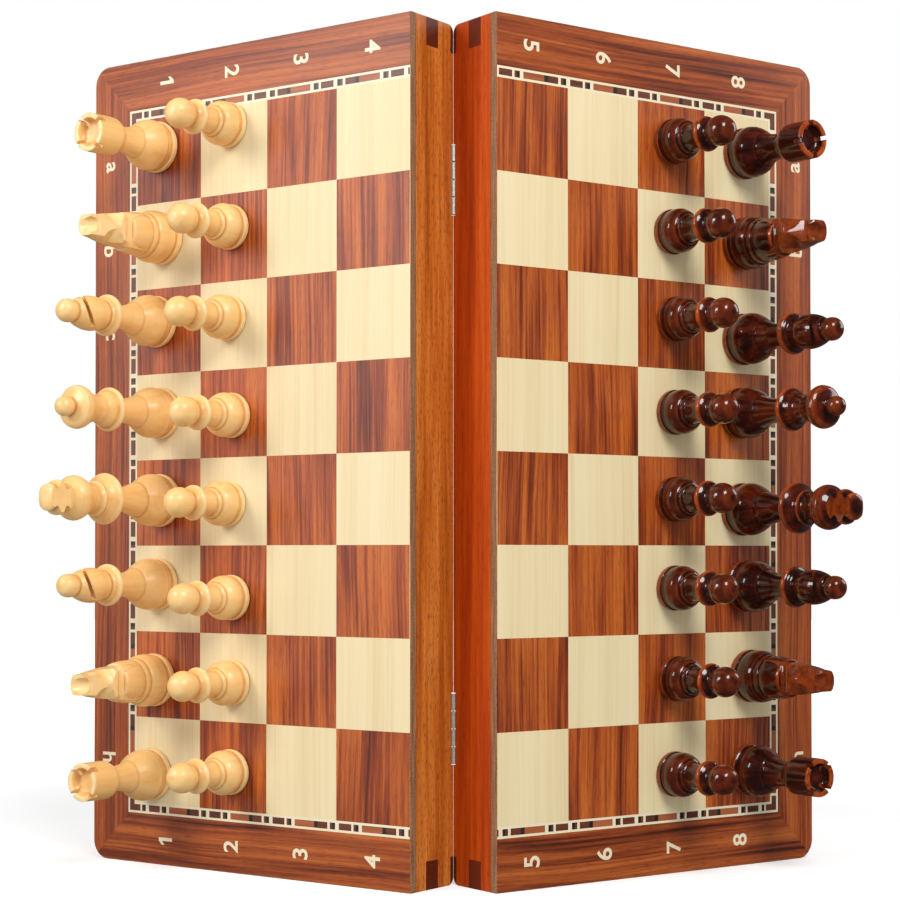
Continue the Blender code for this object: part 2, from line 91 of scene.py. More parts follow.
FELT_EDGE = RAIL_THICKNESS + 0.35
FELT_FACE = 19.72
FELT_BACK = 20.9

FILES = "abcdefgh"
BACK_RANK = ["rook", "knight", "bishop", "queen", "king", "bishop", "knight", "rook"]

# A radius below this is a point on the axis
ON_AXIS = 1e-6

chance = random.Random(11)


def random_place(span):
    return Vector([chance.uniform(0, span) for _ in range(3)])


# ---- helpers: frames and meshes ----


def half_matrix(side):
    return Matrix.Translation((0, HINGE_Y, 0)) @ Matrix.Rotation(side * LEAN, 4, "Z")


def to_half(bm, side):
    """Turns a mesh in (u, d, z) millimetres into a half's local metres, faces still outward."""
    for vert in bm.verts:
        u, d, z = vert.co
        vert.co = (side * u * MM, -d * MM, z * MM)
    if side > 0:
        bmesh.ops.reverse_faces(bm, faces=bm.faces)


def link(name, data):
    """A new object in the scene, for a mesh, a text, a light or a camera."""
    thing = bpy.data.objects.new(name, data)
    bpy.context.scene.collection.objects.link(thing)
    return thing


def mesh_object(name, bm, materials, sharp_from=30):
    mesh = bpy.data.meshes.new(name)
    bm.to_mesh(mesh)
    bm.free()
    for material in materials:
        mesh.materials.append(MATERIALS[material])
    mesh.shade_smooth()
    mesh.set_sharp_from_angle(angle=math.radians(sharp_from))
    return link(name, mesh)


def add_to_half(name, bm, colour, materials, slot, *nodes, sharp_from=30):
    """Folds a piece built in (u, d, z) into its place, attaches it to its half and hides the CAD parts
    it replaces.
    """
    to_half(bm, SIDES[colour])
    thing = mesh_object(name, bm, materials, sharp_from)
    thing.matrix_world = half_matrix(SIDES[colour])
    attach(thing, f"{colour}_half")
    if nodes:
        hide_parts(*nodes)
    return thing


def evaluated_mesh(thing):
    """A bare mesh of an object, as its modifiers or its text leave it."""
    graph = bpy.context.evaluated_depsgraph_get()
    return bpy.data.meshes.new_from_object(thing.evaluated_get(graph))


def combine(first, operation, others):
    """One exact Boolean after another on a solid. Each solid is a mesh, or a bmesh that it ends."""
    made = [
        link("solid", as_mesh(solid) if isinstance(solid, bmesh.types.BMesh) else solid)
        for solid in (first, *others)
    ]
    base = made[0]
    for other in made[1:]:
        modifier = base.modifiers.new("cut", "BOOLEAN")
        modifier.operation = operation
        modifier.solver = "EXACT"
        modifier.object = other
    result = evaluated_mesh(base)
    for thing in made:
        bpy.data.objects.remove(thing)
    return result


def as_mesh(bm):
    bmesh.ops.recalc_face_normals(bm, faces=bm.faces)
    mesh = bpy.data.meshes.new("part")
    bm.to_mesh(mesh)
    bm.free()
    return mesh


def as_bmesh(mesh):
    bm = bmesh.new()
    bm.from_mesh(mesh)
    return bm


def box(low, high):
    bm = bmesh.new()
    size = Vector(high) - Vector(low)
    middle = (Vector(high) + Vector(low)) / 2
    place = Matrix.Translation(middle) @ Matrix.Diagonal((*size, 1.0))
    bmesh.ops.create_cube(bm, size=1.0, matrix=place)
    return bm


def stack(loops):
    """A closed solid through a list of closed loops of equal length, capped at both ends."""
    bm = bmesh.new()
    rings = [[bm.verts.new(point) for point in loop] for loop in loops]
    count = len(rings[0])
    for low, high in zip(rings, rings[1:]):
        for i in range(count):
            j = (i + 1) % count
            bm.faces.new((low[i], low[j], high[j], high[i]))
    bm.faces.new(rings[0][::-1])
    bm.faces.new(rings[-1])
    bmesh.ops.recalc_face_normals(bm, faces=bm.faces)
    return bm


def turned(path, sides=48, closed=False):
    """A solid round Z from a path of (radius, height) that ends on the axis or comes full circle."""
    bm = bmesh.new()
    rings = []
    for radius, height in path:
        spots = sides if radius > ON_AXIS else 1
        angles = [2 * math.pi * step / sides for step in range(spots)]
        rings.append([
            bm.verts.new((radius * math.cos(angle), radius * math.sin(angle), height))
            for angle in angles
        ])
    for low, high in zip(rings, rings[1:] + (rings[:1] if closed else [])):
        for i in range(sides):
            j = (i + 1) % sides
            corners = (low[i % len(low)], low[j % len(low)], high[j % len(high)], high[i % len(high)])
            unique = list(dict.fromkeys(corners))
            if len(unique) > 2:
                bm.faces.new(unique)
    return bm


# ---- helpers: node materials, with every tone as (red, green, blue) out of 255 ----


def srgb(*tone):
    shares = [value / 255 for value in tone]
    return (*[v / 12.92 if v <= 0.04045 else ((v + 0.055) / 1.055) ** 2.4 for v in shares], 1.0)


# Every material made here, by its name. The CAD has materials of its own under some of the names
MATERIALS = {}


class Shader:
    """A material's node tree, with short names for the nodes used here."""

    def __init__(self, name):
        material = MATERIALS[name] = bpy.data.materials.new(name)
        material.use_nodes = True
        self.tree = material.node_tree
        self.surface = self.tree.nodes["Principled BSDF"]

    def node(self, kind, inputs=None, **settings):
        made = self.tree.nodes.new("ShaderNode" + kind)
        for key, value in settings.items():
            setattr(made, key, value)
        for key, value in (inputs or {}).items():
            self.feed(made.inputs[key], value)
        return made

    def feed(self, socket, value):
        if isinstance(value, bpy.types.NodeSocket):
            self.tree.links.new(value, socket)
        else:
            socket.default_value = value

    def set(self, **values):
        for key, value in values.items():
            self.feed(self.surface.inputs[key.replace("_", " ")], value)

    def grain(self):
        """Wood coordinates in millimetres: Y runs along the grain."""
        return self.node("Attribute", attribute_name="grain").outputs["Vector"]

    def place(self):
        """The object's own coordinates, in metres."""
        return self.node("TexCoord").outputs["Object"]

    def vector(self, operation, a, b):
        return self.node("VectorMath", {0: a, 1: b}, operation=operation).outputs[0]

    def noise(self, place, finer, detail=2, rough=0.5, distortion=0.0):
        """Noise from coordinates, made finer along each axis by its own factor."""
        inputs = {
            "Vector": self.vector("MULTIPLY", place, finer), "Scale": 1.0, "Detail": detail,
            "Roughness": rough, "Distortion": distortion,
        }
        return self.node("TexNoise", inputs).outputs["Fac"]

    def math(self, operation, a, b=0.0, c=0.0):
        return self.node("Math", {0: a, 1: b, 2: c}, operation=operation).outputs[0]

    def layers(self, *weighted):
        """Noises laid over one another, each swinging about the middle by its own weight."""
        total = 0.0
        for noise, weight in weighted:
            total = self.math("MULTIPLY_ADD", self.math("SUBTRACT", noise, 0.5), weight, total)
        return self.node("Math", {0: total, 1: 0.5}, operation="ADD", use_clamp=True).outputs[0]

    def remap(self, value, low, high, to_low=0.0, to_high=1.0):
        return self.node(
            "MapRange",
            {"Value": value, "From Min": low, "From Max": high, "To Min": to_low, "To Max": to_high},
        ).outputs[0]

    def ramp(self, value, stops):
        made = self.node("ValToRGB", {"Fac": value})
        elements = made.color_ramp.elements
        while len(elements) < len(stops):
            elements.new(0.5)
        for element, (position, tone) in zip(elements, stops):
            element.position = position
            element.color = srgb(*tone)
        return made.outputs["Color"]

    def mix(self, amount, a, b):
        made = self.node("Mix", data_type="RGBA")
        for key, value in {"Factor": amount, "A": a, "B": b}.items():
            self.feed(made.inputs[key], value)
        return made.outputs["Result"]

    def bump(self, height, strength, depth):
        made = self.node("Bump", {"Height": height, "Strength": strength, "Distance": depth * MM})
        self.set(Normal=made.outputs["Normal"])


# ---- materials ----


def wood(name, tones, figure=(0.16, 0.004), streaks=(0.8, 0.008), warp=3.0, contrast=1.0,
         pore_tone=None, pores=0.0, pore_size=(3.4, 0.22), roughness=(0.38, 0.46),
         grain_bump=0.12, specular=0.5):
    """A flat-sawn wood: broad figure, narrow streaks, fibres and short dark pores along Y."""

    def along_grain(across, along):
        return across, along, across

    s = Shader(name)
    grain = s.grain()
    sway = s.noise(grain, along_grain(0.012, 0.006))
    shift = s.node("CombineXYZ", {"X": s.remap(sway, 0, 1, -warp, warp)}).outputs[0]
    warped = s.vector("ADD", grain, shift)
    broad = s.noise(warped, along_grain(*figure))
    narrow = s.noise(warped, along_grain(*streaks), detail=4, rough=0.6)
    fibre = s.noise(warped, along_grain(5.5, 0.09), detail=3, rough=0.65)
    colour = s.ramp(
        s.layers((broad, 0.95 * contrast), (narrow, 1.05 * contrast), (fibre, 0.42 * contrast)), tones
    )
    height = fibre
    if pores:
        dash = s.noise(warped, along_grain(*pore_size), rough=0.4)
        open_pore = s.remap(dash, 0.58, 0.68)
        colour = s.mix(s.math("MULTIPLY", open_pore, pores), colour, srgb(*pore_tone))
        height = s.math("SUBTRACT", fibre, s.math("MULTIPLY", open_pore, 1.4))
    s.set(Base_Color=colour, Roughness=s.remap(fibre, 0.3, 0.7, *roughness))
    s.set(Specular_IOR_Level=specular)
    s.bump(height, grain_bump, 0.05)
    return s


def solid_wood(name, tones, end_tones, **settings):
    """Wood with end grain: fine dots where the surface faces along the grain."""
    s = wood(name, tones, **settings)
    dots = s.noise(s.grain(), (2.6, 0.05, 2.6), detail=3, rough=0.6)
    dotted = s.ramp(s.remap(dots, 0.32, 0.68), end_tones)
    facing = s.node("Attribute", attribute_name="end_face").outputs["Fac"]
    long_grain = s.surface.inputs["Base Color"].links[0].from_socket
    s.set(Base_Color=s.mix(facing, long_grain, dotted))


def turned_wood(name, tones, edge, hollow, roughness, coat, coat_roughness, specular):
    """Wood turned on a lathe. The shape attribute is 1 on proud edges and 0 down in grooves. The edge
    tone on proud edges is worn lacquer on the rosewood and a painted highlight on the boxwood; the
    hollow tone in the grooves is a painted shade.
    """
    s = Shader(name)
    billet = s.node("Attribute", attribute_type="OBJECT", attribute_name="billet").outputs["Vector"]
    place = s.vector("ADD", s.grain(), billet)
    rings = s.noise(place, (0.22, 0.010, 0.22), distortion=0.4)
    streak = s.noise(place, (1.1, 0.03, 1.1), detail=4, rough=0.6)
    fibre = s.noise(place, (6.0, 0.25, 6.0), detail=3, rough=0.6)
    colour = s.ramp(s.layers((rings, 0.9), (streak, 0.4), (fibre, 0.3)), tones)
    shape = s.node("Attribute", attribute_name="shape").outputs["Fac"]
    blotch = s.noise(place, (0.35, 0.35, 0.35))
    # Proud edges: a painted highlight on the boxwood, worn lacquer showing the wood on the rosewood
    proud = s.math("MULTIPLY", s.remap(shape, 0.55, 1.0), s.remap(blotch, 0.3, 0.6, 0.35, 0.95))
    # Grooves: a painted shade, the hollow tone laid in where the profile sinks
    groove_shade = s.math("MULTIPLY", s.remap(shape, 0.45, 0.0), s.remap(blotch, 0.3, 0.7, 0.6, 0.9))
    colour = s.mix(proud, colour, srgb(*edge))
    colour = s.mix(groove_shade, colour, srgb(*hollow))
    s.set(Base_Color=colour, Roughness=s.remap(fibre, 0.3, 0.7, *roughness))
    s.set(Coat_Weight=coat, Coat_Roughness=coat_roughness, Specular_IOR_Level=specular)
    s.bump(s.math("ADD", fibre, s.math("MULTIPLY", streak, 0.6)), 0.06, 0.05)


def speckled(name, finer, dark, light, roughness, bump, detail=4, rough=0.6, **constants):
    """A plain surface with one noise in its tone, its roughness and its relief."""
    s = Shader(name)
    wear = s.noise(s.place(), finer, detail=detail, rough=rough)
    s.set(Base_Color=s.ramp(wear, [(0.3, dark), (0.7, light)]), **constants)
    s.set(Roughness=s.remap(wear, 0.3, 0.7, *roughness))
    s.bump(wear, *bump)


def flecked(name, fine, coarse, share, detail, rough, stops, roughness, bump, **constants):
    """A fibrous surface: fine flecks in its relief, and a coarser noise laid over their tone."""
    s = Shader(name)
    place = s.place()
    fleck = s.noise(place, fine, detail=detail, rough=rough)
    clump = s.noise(place, coarse, detail=detail - 1)
    tone = s.math("MULTIPLY_ADD", clump, share, s.math("MULTIPLY", fleck, 1 - share))
    s.set(Base_Color=s.ramp(tone, stops), **constants)
    s.set(Roughness=s.remap(fleck, 0.3, 0.7, *roughness))
    s.bump(fleck, *bump)


def make_materials():
    """Makes every material of the set. MATERIALS keeps them."""
    veneer = {"contrast": 1.3, "pores": 0.4, "roughness": (0.40, 0.50), "specular": 0.45}
    wood(
        "dark_square_rosewood",
        [(0.08, (84, 26, 4)), (0.32, (138, 52, 9)), (0.54, (178, 82, 20)), (0.82, (204, 106, 32))],
        figure=(0.16, 0.014), streaks=(0.85, 0.012), warp=5.0, pore_tone=(80, 28, 10), **veneer,
    )
    wood(
        "border_rosewood",
        [(0.08, (74, 22, 4)), (0.32, (128, 50, 9)), (0.56, (166, 76, 20)), (0.86, (194, 100, 34))],
        figure=(0.18, 0.008), streaks=(0.85, 0.010), warp=4.0, pore_tone=(72, 26, 10), **veneer,
    )
    wood(
        "light_square_maple",
        [(0.15, (228, 204, 156)), (0.5, (238, 218, 172)), (0.85, (244, 227, 186))],
        figure=(0.10, 0.003), streaks=(0.9, 0.008), contrast=0.8, roughness=(0.40, 0.48),
        grain_bump=0.05, specular=0.25,
    )
    wood(
        "inlay_light_maple", [(0.2, (236, 220, 182)), (0.8, (246, 234, 204))],
        contrast=0.6, grain_bump=0.04,
    )
    wood("inlay_brown", [(0.2, (84, 38, 22)), (0.8, (122, 62, 38))])
    wood("inlay_orange", [(0.2, (150, 74, 34)), (0.8, (184, 100, 56))])
    wood("inlay_black", [(0.2, (26, 20, 17)), (0.8, (52, 40, 32))])
    flecked(
        "panel_core_edge", (3800, 3800, 1500), (300, 1400, 60), share=0.35, detail=3, rough=0.7,
        stops=[(0.36, (86, 52, 30)), (0.50, (144, 96, 60)), (0.64, (188, 140, 98))],
        roughness=(0.6, 0.8), bump=(0.35, 0.12),
    )
    solid_wood(
        "light_mahogany",
        [(0.12, (148, 70, 13)), (0.45, (198, 106, 32)), (0.80, (226, 142, 64))],
        [(0.0, (70, 22, 8)), (1.0, (112, 40, 16))],
        figure=(0.12, 0.006), streaks=(0.6, 0.02), warp=2.0, pore_tone=(104, 42, 14), pores=0.75,
        pore_size=(3.6, 0.42), roughness=(0.40, 0.55), grain_bump=0.3, specular=0.3,
    )
    solid_wood(
        "red_mahogany",
        [(0.12, (148, 44, 3)), (0.45, (192, 70, 6)), (0.85, (220, 102, 20))],
        [(0.0, (86, 26, 8)), (1.0, (124, 44, 14))],
        figure=(0.10, 0.004), streaks=(0.5, 0.014), contrast=0.9, warp=2.0, pore_tone=(108, 28, 4),
        pores=0.35, pore_size=(2.2, 0.2), roughness=(0.38, 0.50), grain_bump=0.15, specular=0.3,
    )
    turned_wood(
        "boxwood",
        [(0.1, (236, 174, 98)), (0.5, (250, 200, 126)), (0.9, (252, 214, 150))],
        # edge is a painted highlight on proud edges, hollow a painted shade in the grooves
        edge=(253, 222, 164), hollow=(206, 134, 62), roughness=(0.34, 0.44), coat=0.3,
        coat_roughness=0.2, specular=0.3,
    )
    turned_wood(
        "rosewood_lacquer",
        [(0.15, (20, 4, 2)), (0.45, (46, 9, 3)), (0.85, (108, 34, 8))],
        # edge is worn lacquer showing orange wood on proud edges, hollow a painted shade in the
        # grooves
        edge=(176, 74, 20), hollow=(20, 4, 2), roughness=(0.28, 0.36), coat=0.9,
        coat_roughness=0.07, specular=0.1,
    )
    speckled(
        "nickel", (900, 900, 2600), (206, 194, 176), (242, 236, 224), (0.34, 0.50), (0.15, 0.05),
        Metallic=0.6,
    )
    speckled(
        "steel_sheet", (700, 700, 30), (126, 128, 132), (170, 172, 176), (0.35, 0.5), (0.1, 0.03),
        Metallic=1.0,
    )
    # A painted shadow for the faces down in the hinge mortises
    speckled(
        "mortise_shadow", (2200, 2200, 700), (16, 9, 6), (40, 22, 14), (0.7, 0.9), (0.3, 0.1),
        detail=3, rough=0.5,
    )
    for name, dark, light in (
        ("green_felt", (18, 66, 42), (34, 98, 62)), ("base_felt", (20, 34, 26), (34, 56, 40)),
    ):
        flecked(
            name, (2600, 2600, 2600), (260, 260, 260), share=0.4, detail=4, rough=0.75,
            stops=[(0.35, dark), (0.65, light)], roughness=(0.85, 1.0), bump=(0.7, 0.25),
            Sheen_Weight=0.5, Sheen_Roughness=0.6,
        )


# ---- the two halves ----


def plan(inset=0.0, steps=12, spine_inset=0.0):
    """The plan of a half in (u, z), inset at its three outer sides: square at the spine."""
    points = [(SPINE + spine_inset, inset)]
    radius = CORNER_RADIUS - inset
    for corner_z, start in ((CORNER_RADIUS, -90), (BOARD - CORNER_RADIUS, 0)):
        for step in range(steps + 1):
            angle = math.radians(start + 90 * step / steps)
            u = HALF_WIDTH - CORNER_RADIUS + radius * math.cos(angle)
            z = corner_z + radius * math.sin(angle)
            points.append((u, z))
    points.append((SPINE + spine_inset, BOARD - inset))
    return points


def rail_envelope():
    loops = []
    for step in range(9):
        angle = math.radians(90 * step / 8)
        inset = RIM_ROUNDING * (1 - math.sin(angle))
        d = SPINE + RIM_ROUNDING * (1 - math.cos(angle))
        loops.append([(u, d, z) for u, z in plan(inset)])
    loops.append([(u, RAIL_TOP, z) for u, z in plan()])
    return stack(loops)


def comb(start, end, own, trim=0.02):
    """A rail from the side, as (position, height), reaching the corners on its own levels."""
    near, far = [], []
    last = len(FINGER_LEVELS) - 2
    for level, (low, high) in enumerate(zip(FINGER_LEVELS, FINGER_LEVELS[1:])):
        is_own = level in own
        inset = -RAIL_THICKNESS if is_own else RAIL_THICKNESS + trim
        shrink = trim if is_own else -trim
        bottom = low + shrink if level else low - RAIL_THICKNESS
        top = high - shrink if level < last else high + RAIL_THICKNESS
        near += [(start + inset, bottom), (start + inset, top)]
        far += [(end - inset, bottom), (end - inset, top)]
    return near + far[::-1]


def prism(points, direction):
    bm = bmesh.new()
    face = bm.faces.new([bm.verts.new(point) for point in points])
    extruded = bmesh.ops.extrude_face_region(bm, geom=[face])
    moved = [item for item in extruded["geom"] if isinstance(item, bmesh.types.BMVert)]
    bmesh.ops.translate(bm, verts=moved, vec=direction)
    return bm


def long_rail(inner, outer):
    points = [(inner, d, z) for z, d in comb(0.0, BOARD, (1, 3))]
    return combine(rail_envelope(), "INTERSECT", [prism(points, (outer - inner, 0, 0))])


def end_rail(low, high):
    points = [(u, d, low) for u, d in comb(SPINE, HALF_WIDTH, (0, 2))]
    return combine(rail_envelope(), "INTERSECT", [prism(points, (0, 0, high - low))])


def spine_rail():
    cutters = []
    for z in HINGE_PLACES.values():
        half = MORTISE_LENGTH / 2
        cutters.append(box((-1, -1, z - half), (MORTISE_DEPTH, MORTISE_DEPTH, z + half)))
        half, reach = HINGE_LENGTH / 2 + LEAF_CLEARANCE, LEAF_REACH + LEAF_CLEARANCE
        top = SPINE + LEAF_THICKNESS + 0.1
        cutters.append(box((-2, -2, z - half), (reach, top, z + half)))
    return combine(long_rail(-1, RAIL_THICKNESS), "DIFFERENCE", cutters)


RAIL_WOODS = {"white": "light_mahogany", "black": "red_mahogany"}


def in_mortise(centre):
    beside_leaf = any(abs(centre.z - z) < MORTISE_LENGTH / 2 + 0.1 for z in HINGE_PLACES.values())
    under_leaf = SPINE + 0.01 < centre.x < LEAF_REACH + 0.3
    return beside_leaf and under_leaf and SPINE + 0.01 <= centre.y < MORTISE_DEPTH + 0.1


def add_rail(colour, part, mesh, along):
    """Grain runs along z in a long rail and along u in an end rail. Faces across it are end grain."""
    bm = as_bmesh(mesh)
    bmesh.ops.remove_doubles(bm, verts=bm.verts, dist=0.002)
    seed = random_place(400)
    grain = bm.loops.layers.float_vector.new("grain")
    end_face = bm.loops.layers.float.new("end_face")
    bm.normal_update()
    for face in bm.faces:
        across = abs(face.normal.z if along == "z" else face.normal.x)
        # Faces down in a hinge mortise take mortise_shadow, a painted shadow
        dark = part == "spine_rail" and in_mortise(face.calc_center_median())
        face.material_index = 1 if dark else 0
        for loop in face.loops:
            u, d, z = loop.vert.co
            spot = (u, z, d) if along == "z" else (z, u, d)
            loop[grain] = Vector(spot) + seed
            loop[end_face] = 1.0 if across > 0.7 else 0.0
    solid, name = RAIL_WOODS[colour], f"{colour}_{part}"
    thing = add_to_half(
        f"{name}_wood", bm, colour, [solid, "mortise_shadow"], solid, name, sharp_from=35
    )
    bevel = thing.modifiers.new("softened", "BEVEL")
    bevel.width = 0.12 * MM
    bevel.segments = 2
    bevel.limit_method = "ANGLE"
    bevel.angle_limit = math.radians(50)
    bevel.harden_normals = True


# Marquetry: widths in millimetres, and the strip's repeat as (colour, share of the repeat)
LINE = 0.85
BAND = 4.1
CORNER_LEG = 5.4
LEG_OUT = BAND - LINE - CORNER_LEG
BLACK_END = 0.5
STRIP = [
    ("inlay_brown", 0.183), ("inlay_light_maple", 0.032), ("inlay_brown", 0.032),
    ("inlay_black", 0.043), ("inlay_light_maple", 0.048), ("inlay_orange", 0.294),
    ("inlay_black", 0.054), ("inlay_brown", 0.144), ("inlay_light_maple", 0.036),
    ("inlay_brown", 0.037), ("inlay_black", 0.042), ("inlay_light_maple", 0.055),
]
# Where each strip's repeat starts, which way it runs and how long it is
STRIPS = {
    "white": {"top": (2.8, 1, 31.4), "bottom": (31.5, -1, 30.6), "outer": (30.1, 1, 31.1)},
    "black": {"top": (1.1, 1, 31.66), "bottom": (31.6, -1, 30.75), "outer": (30.1, 1, 31.1)},
}
# Where the veneered squares meet, out from the spine
COLUMNS = {"white": [0.3, 32.7, 65.1, 97.5, 129.9], "black": [0.3, 31.7, 64.3, 97.0, 129.9]}
SKINS = [
    "panel_core_edge", "dark_square_rosewood", "light_square_maple", "border_rosewood",
    "inlay_light_maple", "inlay_brown", "inlay_orange", "inlay_black",
]


def strip_cuts(start, way, length, low, high):
    """The places where the strip changes colour, between low and high."""
    cuts = []
    for repeat in range(-12, 13):
        at = start + way * repeat * length
        for _, share in STRIP:
            if low < at < high:
                cuts.append(at)
            at += way * share * length
    return cuts


def strip_colour(position, start, way, length):
    share = ((position - start) * way / length) % 1.0
    for colour, width in STRIP:
        share -= width
        if share < 0:
            return colour
    return STRIP[-1][0]


def bisect(bm, where, point, normal):
    """Cuts the faces whose centre passes the test with a plane."""
    faces = [face for face in bm.faces if where(face.calc_center_median())]
    geometry = set(faces)
    for face in faces:
        geometry.update(face.edges)
        geometry.update(face.verts)
    bmesh.ops.bisect_plane(bm, geom=list(geometry), plane_co=point, plane_no=normal, dist=0.0005)


def on_top(centre):
    return centre.y > HALF_DEPTH - 0.01


def within(u_low, u_high, z_low, z_high):
    return lambda centre: (
        on_top(centre) and u_low < centre.x < u_high and z_low < centre.z < z_high
    )


def panel_skin(colour, u, z):
    """What veneer lies at a place on the playing face, which way its grain runs, and which tile."""
    field_u = COLUMNS[colour][-1]
    leg_u = field_u + LEG_OUT
    out_u, out_low, out_high = u - field_u, FIELD_LOW - z, z - FIELD_HIGH
    out_z = max(out_low, out_high)
    beyond = max(out_u, out_z)
    if beyond < 0:
        column = sum(u > edge for edge in COLUMNS[colour][1:])
        row = int((FIELD_HIGH - z) / SQUARE)
        is_light = (column + row) % 2 == (0 if colour == "white" else 1)
        return SKINS[2 if is_light else 1], "z", (column, row)
    if beyond > BAND:
        if min(z, BOARD - z) < HALF_WIDTH - u:
            return "border_rosewood", "u", "low" if z < BOARD / 2 else "high"
        return "border_rosewood", "z", "side"
    if beyond < LINE or beyond > BAND - LINE:
        return "inlay_light_maple", ("u" if out_z > out_u else "z"), "line"
    if u > leg_u and out_z > LEG_OUT and (out_u > LINE or out_z > LINE):
        return "inlay_brown", "z", "corner"
    if out_z <= LINE:
        return strip_colour(z, *STRIPS[colour]["outer"]), "z", "strip"
    if leg_u - LINE < u <= leg_u:
        return "inlay_light_maple", "z", "cap"
    if colour == "white" and out_high > 0 and u < BLACK_END:
        return "inlay_black", "z", "spine"
    name = "top" if out_high > 0 else "bottom"
    return strip_colour(u, *STRIPS[colour][name]), "u", "strip"


def panel_cuts(colour):
    """The cuts between veneers, as (test for a face's centre, axis across the cuts, places)."""
    columns, strips = COLUMNS[colour], STRIPS[colour]
    field_u = columns[-1]
    leg_u = field_u + LEG_OUT
    low, high = FIELD_LOW - BAND, FIELD_HIGH + BAND
    field = within(0, field_u, FIELD_LOW, FIELD_HIGH)
    ring = within(0, field_u + BAND, low, high)

    def band(centre):
        return ring(centre) and not field(centre)

    in_top = within(0, leg_u - LINE, FIELD_HIGH + LINE, high - LINE)
    in_bottom = within(0, leg_u - LINE, low + LINE, FIELD_LOW - LINE)
    cap_low, cap_high = FIELD_LOW - LEG_OUT + LINE, FIELD_HIGH + LEG_OUT - LINE
    in_outer = within(field_u + LINE, field_u + BAND - LINE, cap_low, cap_high)
    return [
        (on_top, 2, (low, FIELD_LOW, FIELD_HIGH, high)),
        (within(0, HALF_WIDTH, low, high), 0, (field_u, field_u + BAND)),
        (field, 0, columns[1:-1]),
        (field, 2, [FIELD_HIGH - row * SQUARE for row in range(1, 8)]),
        (band, 2, (FIELD_LOW - LINE, low + LINE, FIELD_HIGH + LINE, high - LINE)),
        (band, 0, (field_u + LINE, field_u + BAND - LINE, leg_u, leg_u - LINE)),
        (band, 2, (FIELD_LOW - LEG_OUT, FIELD_HIGH + LEG_OUT, cap_low, cap_high)),
        (in_top, 0, strip_cuts(*strips["top"], SPINE, leg_u)),
        (in_bottom, 0, strip_cuts(*strips["bottom"], SPINE, leg_u)),
        (in_outer, 2, strip_cuts(*strips["outer"], FIELD_LOW, FIELD_HIGH)),
    ]


def build_panel(colour):
    """The panel with softened edges, its face cut along every joint and given its veneers."""
    bottom = HALF_DEPTH - PANEL_THICKNESS
    edge = [
        (0.12, bottom), (0.0, bottom + 0.12), (0.0, HALF_DEPTH - 0.30), (0.06, HALF_DEPTH - 0.10),
        (0.16, HALF_DEPTH - 0.02), (0.32, HALF_DEPTH),
    ]
    bm = stack([[(u, d, z) for u, z in plan(inset, 14, inset)] for inset, d in edge])
    for where, axis, places in panel_cuts(colour):
        normal = Vector((axis == 0, 0, axis == 2))
        for place in places:
            bisect(bm, where, normal * place, normal)

    def in_border(centre):
        return on_top(centre) and panel_skin(colour, centre.x, centre.z)[0] == "border_rosewood"

    for corner_z, slope in ((0.0, 1), (BOARD, -1)):
        bisect(bm, in_border, (HALF_WIDTH, 0, corner_z), (1, 0, slope))

    grain = bm.loops.layers.float_vector.new("grain")
    seeds = {}
    for face in bm.faces:
        centre = face.calc_center_median()
        if not on_top(centre):
            continue
        skin, along, tile = panel_skin(colour, centre.x, centre.z)
        face.material_index = SKINS.index(skin)
        if skin.startswith("inlay"):
            tile = (round(centre.x), round(centre.z))
        if tile not in seeds:
            seeds[tile] = random_place(900)
        for loop in face.loops:
            u, d, z = loop.vert.co
            spot = Vector((u, z, 0)) if along == "z" else Vector((z, u, 0))
            loop[grain] = spot + seeds[tile]
    panel = f"{colour}_playing_panel"
    add_to_half(f"{colour}_panel_veneered", bm, colour, SKINS, "playing_veneer", panel)


# ---- coordinates and felt ----

# The font's capitals are a share of its size. Its 1 is a bare stem, and gets a flag as (x, y)
COORDINATE_HEIGHT = 6.8
CAPITAL_SHARE = 0.72
GLYPH_HALF_THICKNESS = 0.02
GLYPH_LIFT = 0.015
FLAG_OF_ONE = [(0.55, 3.4), (-0.55, 3.4), (-2.1, 1.9), (-2.1, 0.6), (-0.55, 1.75), (0.55, 1.75)]
FLAG_TOP = 0.012
NUMBER_ROWS = ((294.9, 1), (9.7, -1))
NUMBERS = {
    "white": [("4", 16.6), ("3", 49.2), ("2", 82.2), ("1", 114.8)],
    "black": [("5", 15.4), ("6", 48.2), ("7", 81.2), ("8", 114.2)],
}
LETTERS_OUT = 144.2


def coordinates(colour):
    """Every mark as (text, u, z, way up): 1 has its top towards +X and -1 towards -X."""
    marks = [(text, u, z, way) for text, u in NUMBERS[colour] for z, way in NUMBER_ROWS]
    for index, letter in enumerate(FILES):
        marks.append((letter, LETTERS_OUT, FIELD_HIGH - (index + 0.5) * SQUARE, -SIDES[colour]))
    return marks


def glyph(text):
    """A flat letter or number, with its middle at 0, from the built-in font."""
    curve = bpy.data.curves.new("mark", "FONT")
    curve.body = text
    curve.size = COORDINATE_HEIGHT / CAPITAL_SHARE
    curve.extrude = GLYPH_HALF_THICKNESS
    curve.offset = 0.17
    mark = link("mark", curve)
    mesh = evaluated_mesh(mark)
    bpy.data.objects.remove(mark)
    xs, ys, _ = zip(*(vert.co for vert in mesh.vertices))
    mesh.transform(Matrix.Translation((-(min(xs) + max(xs)) / 2, -(min(ys) + max(ys)) / 2, 0)))
    return mesh


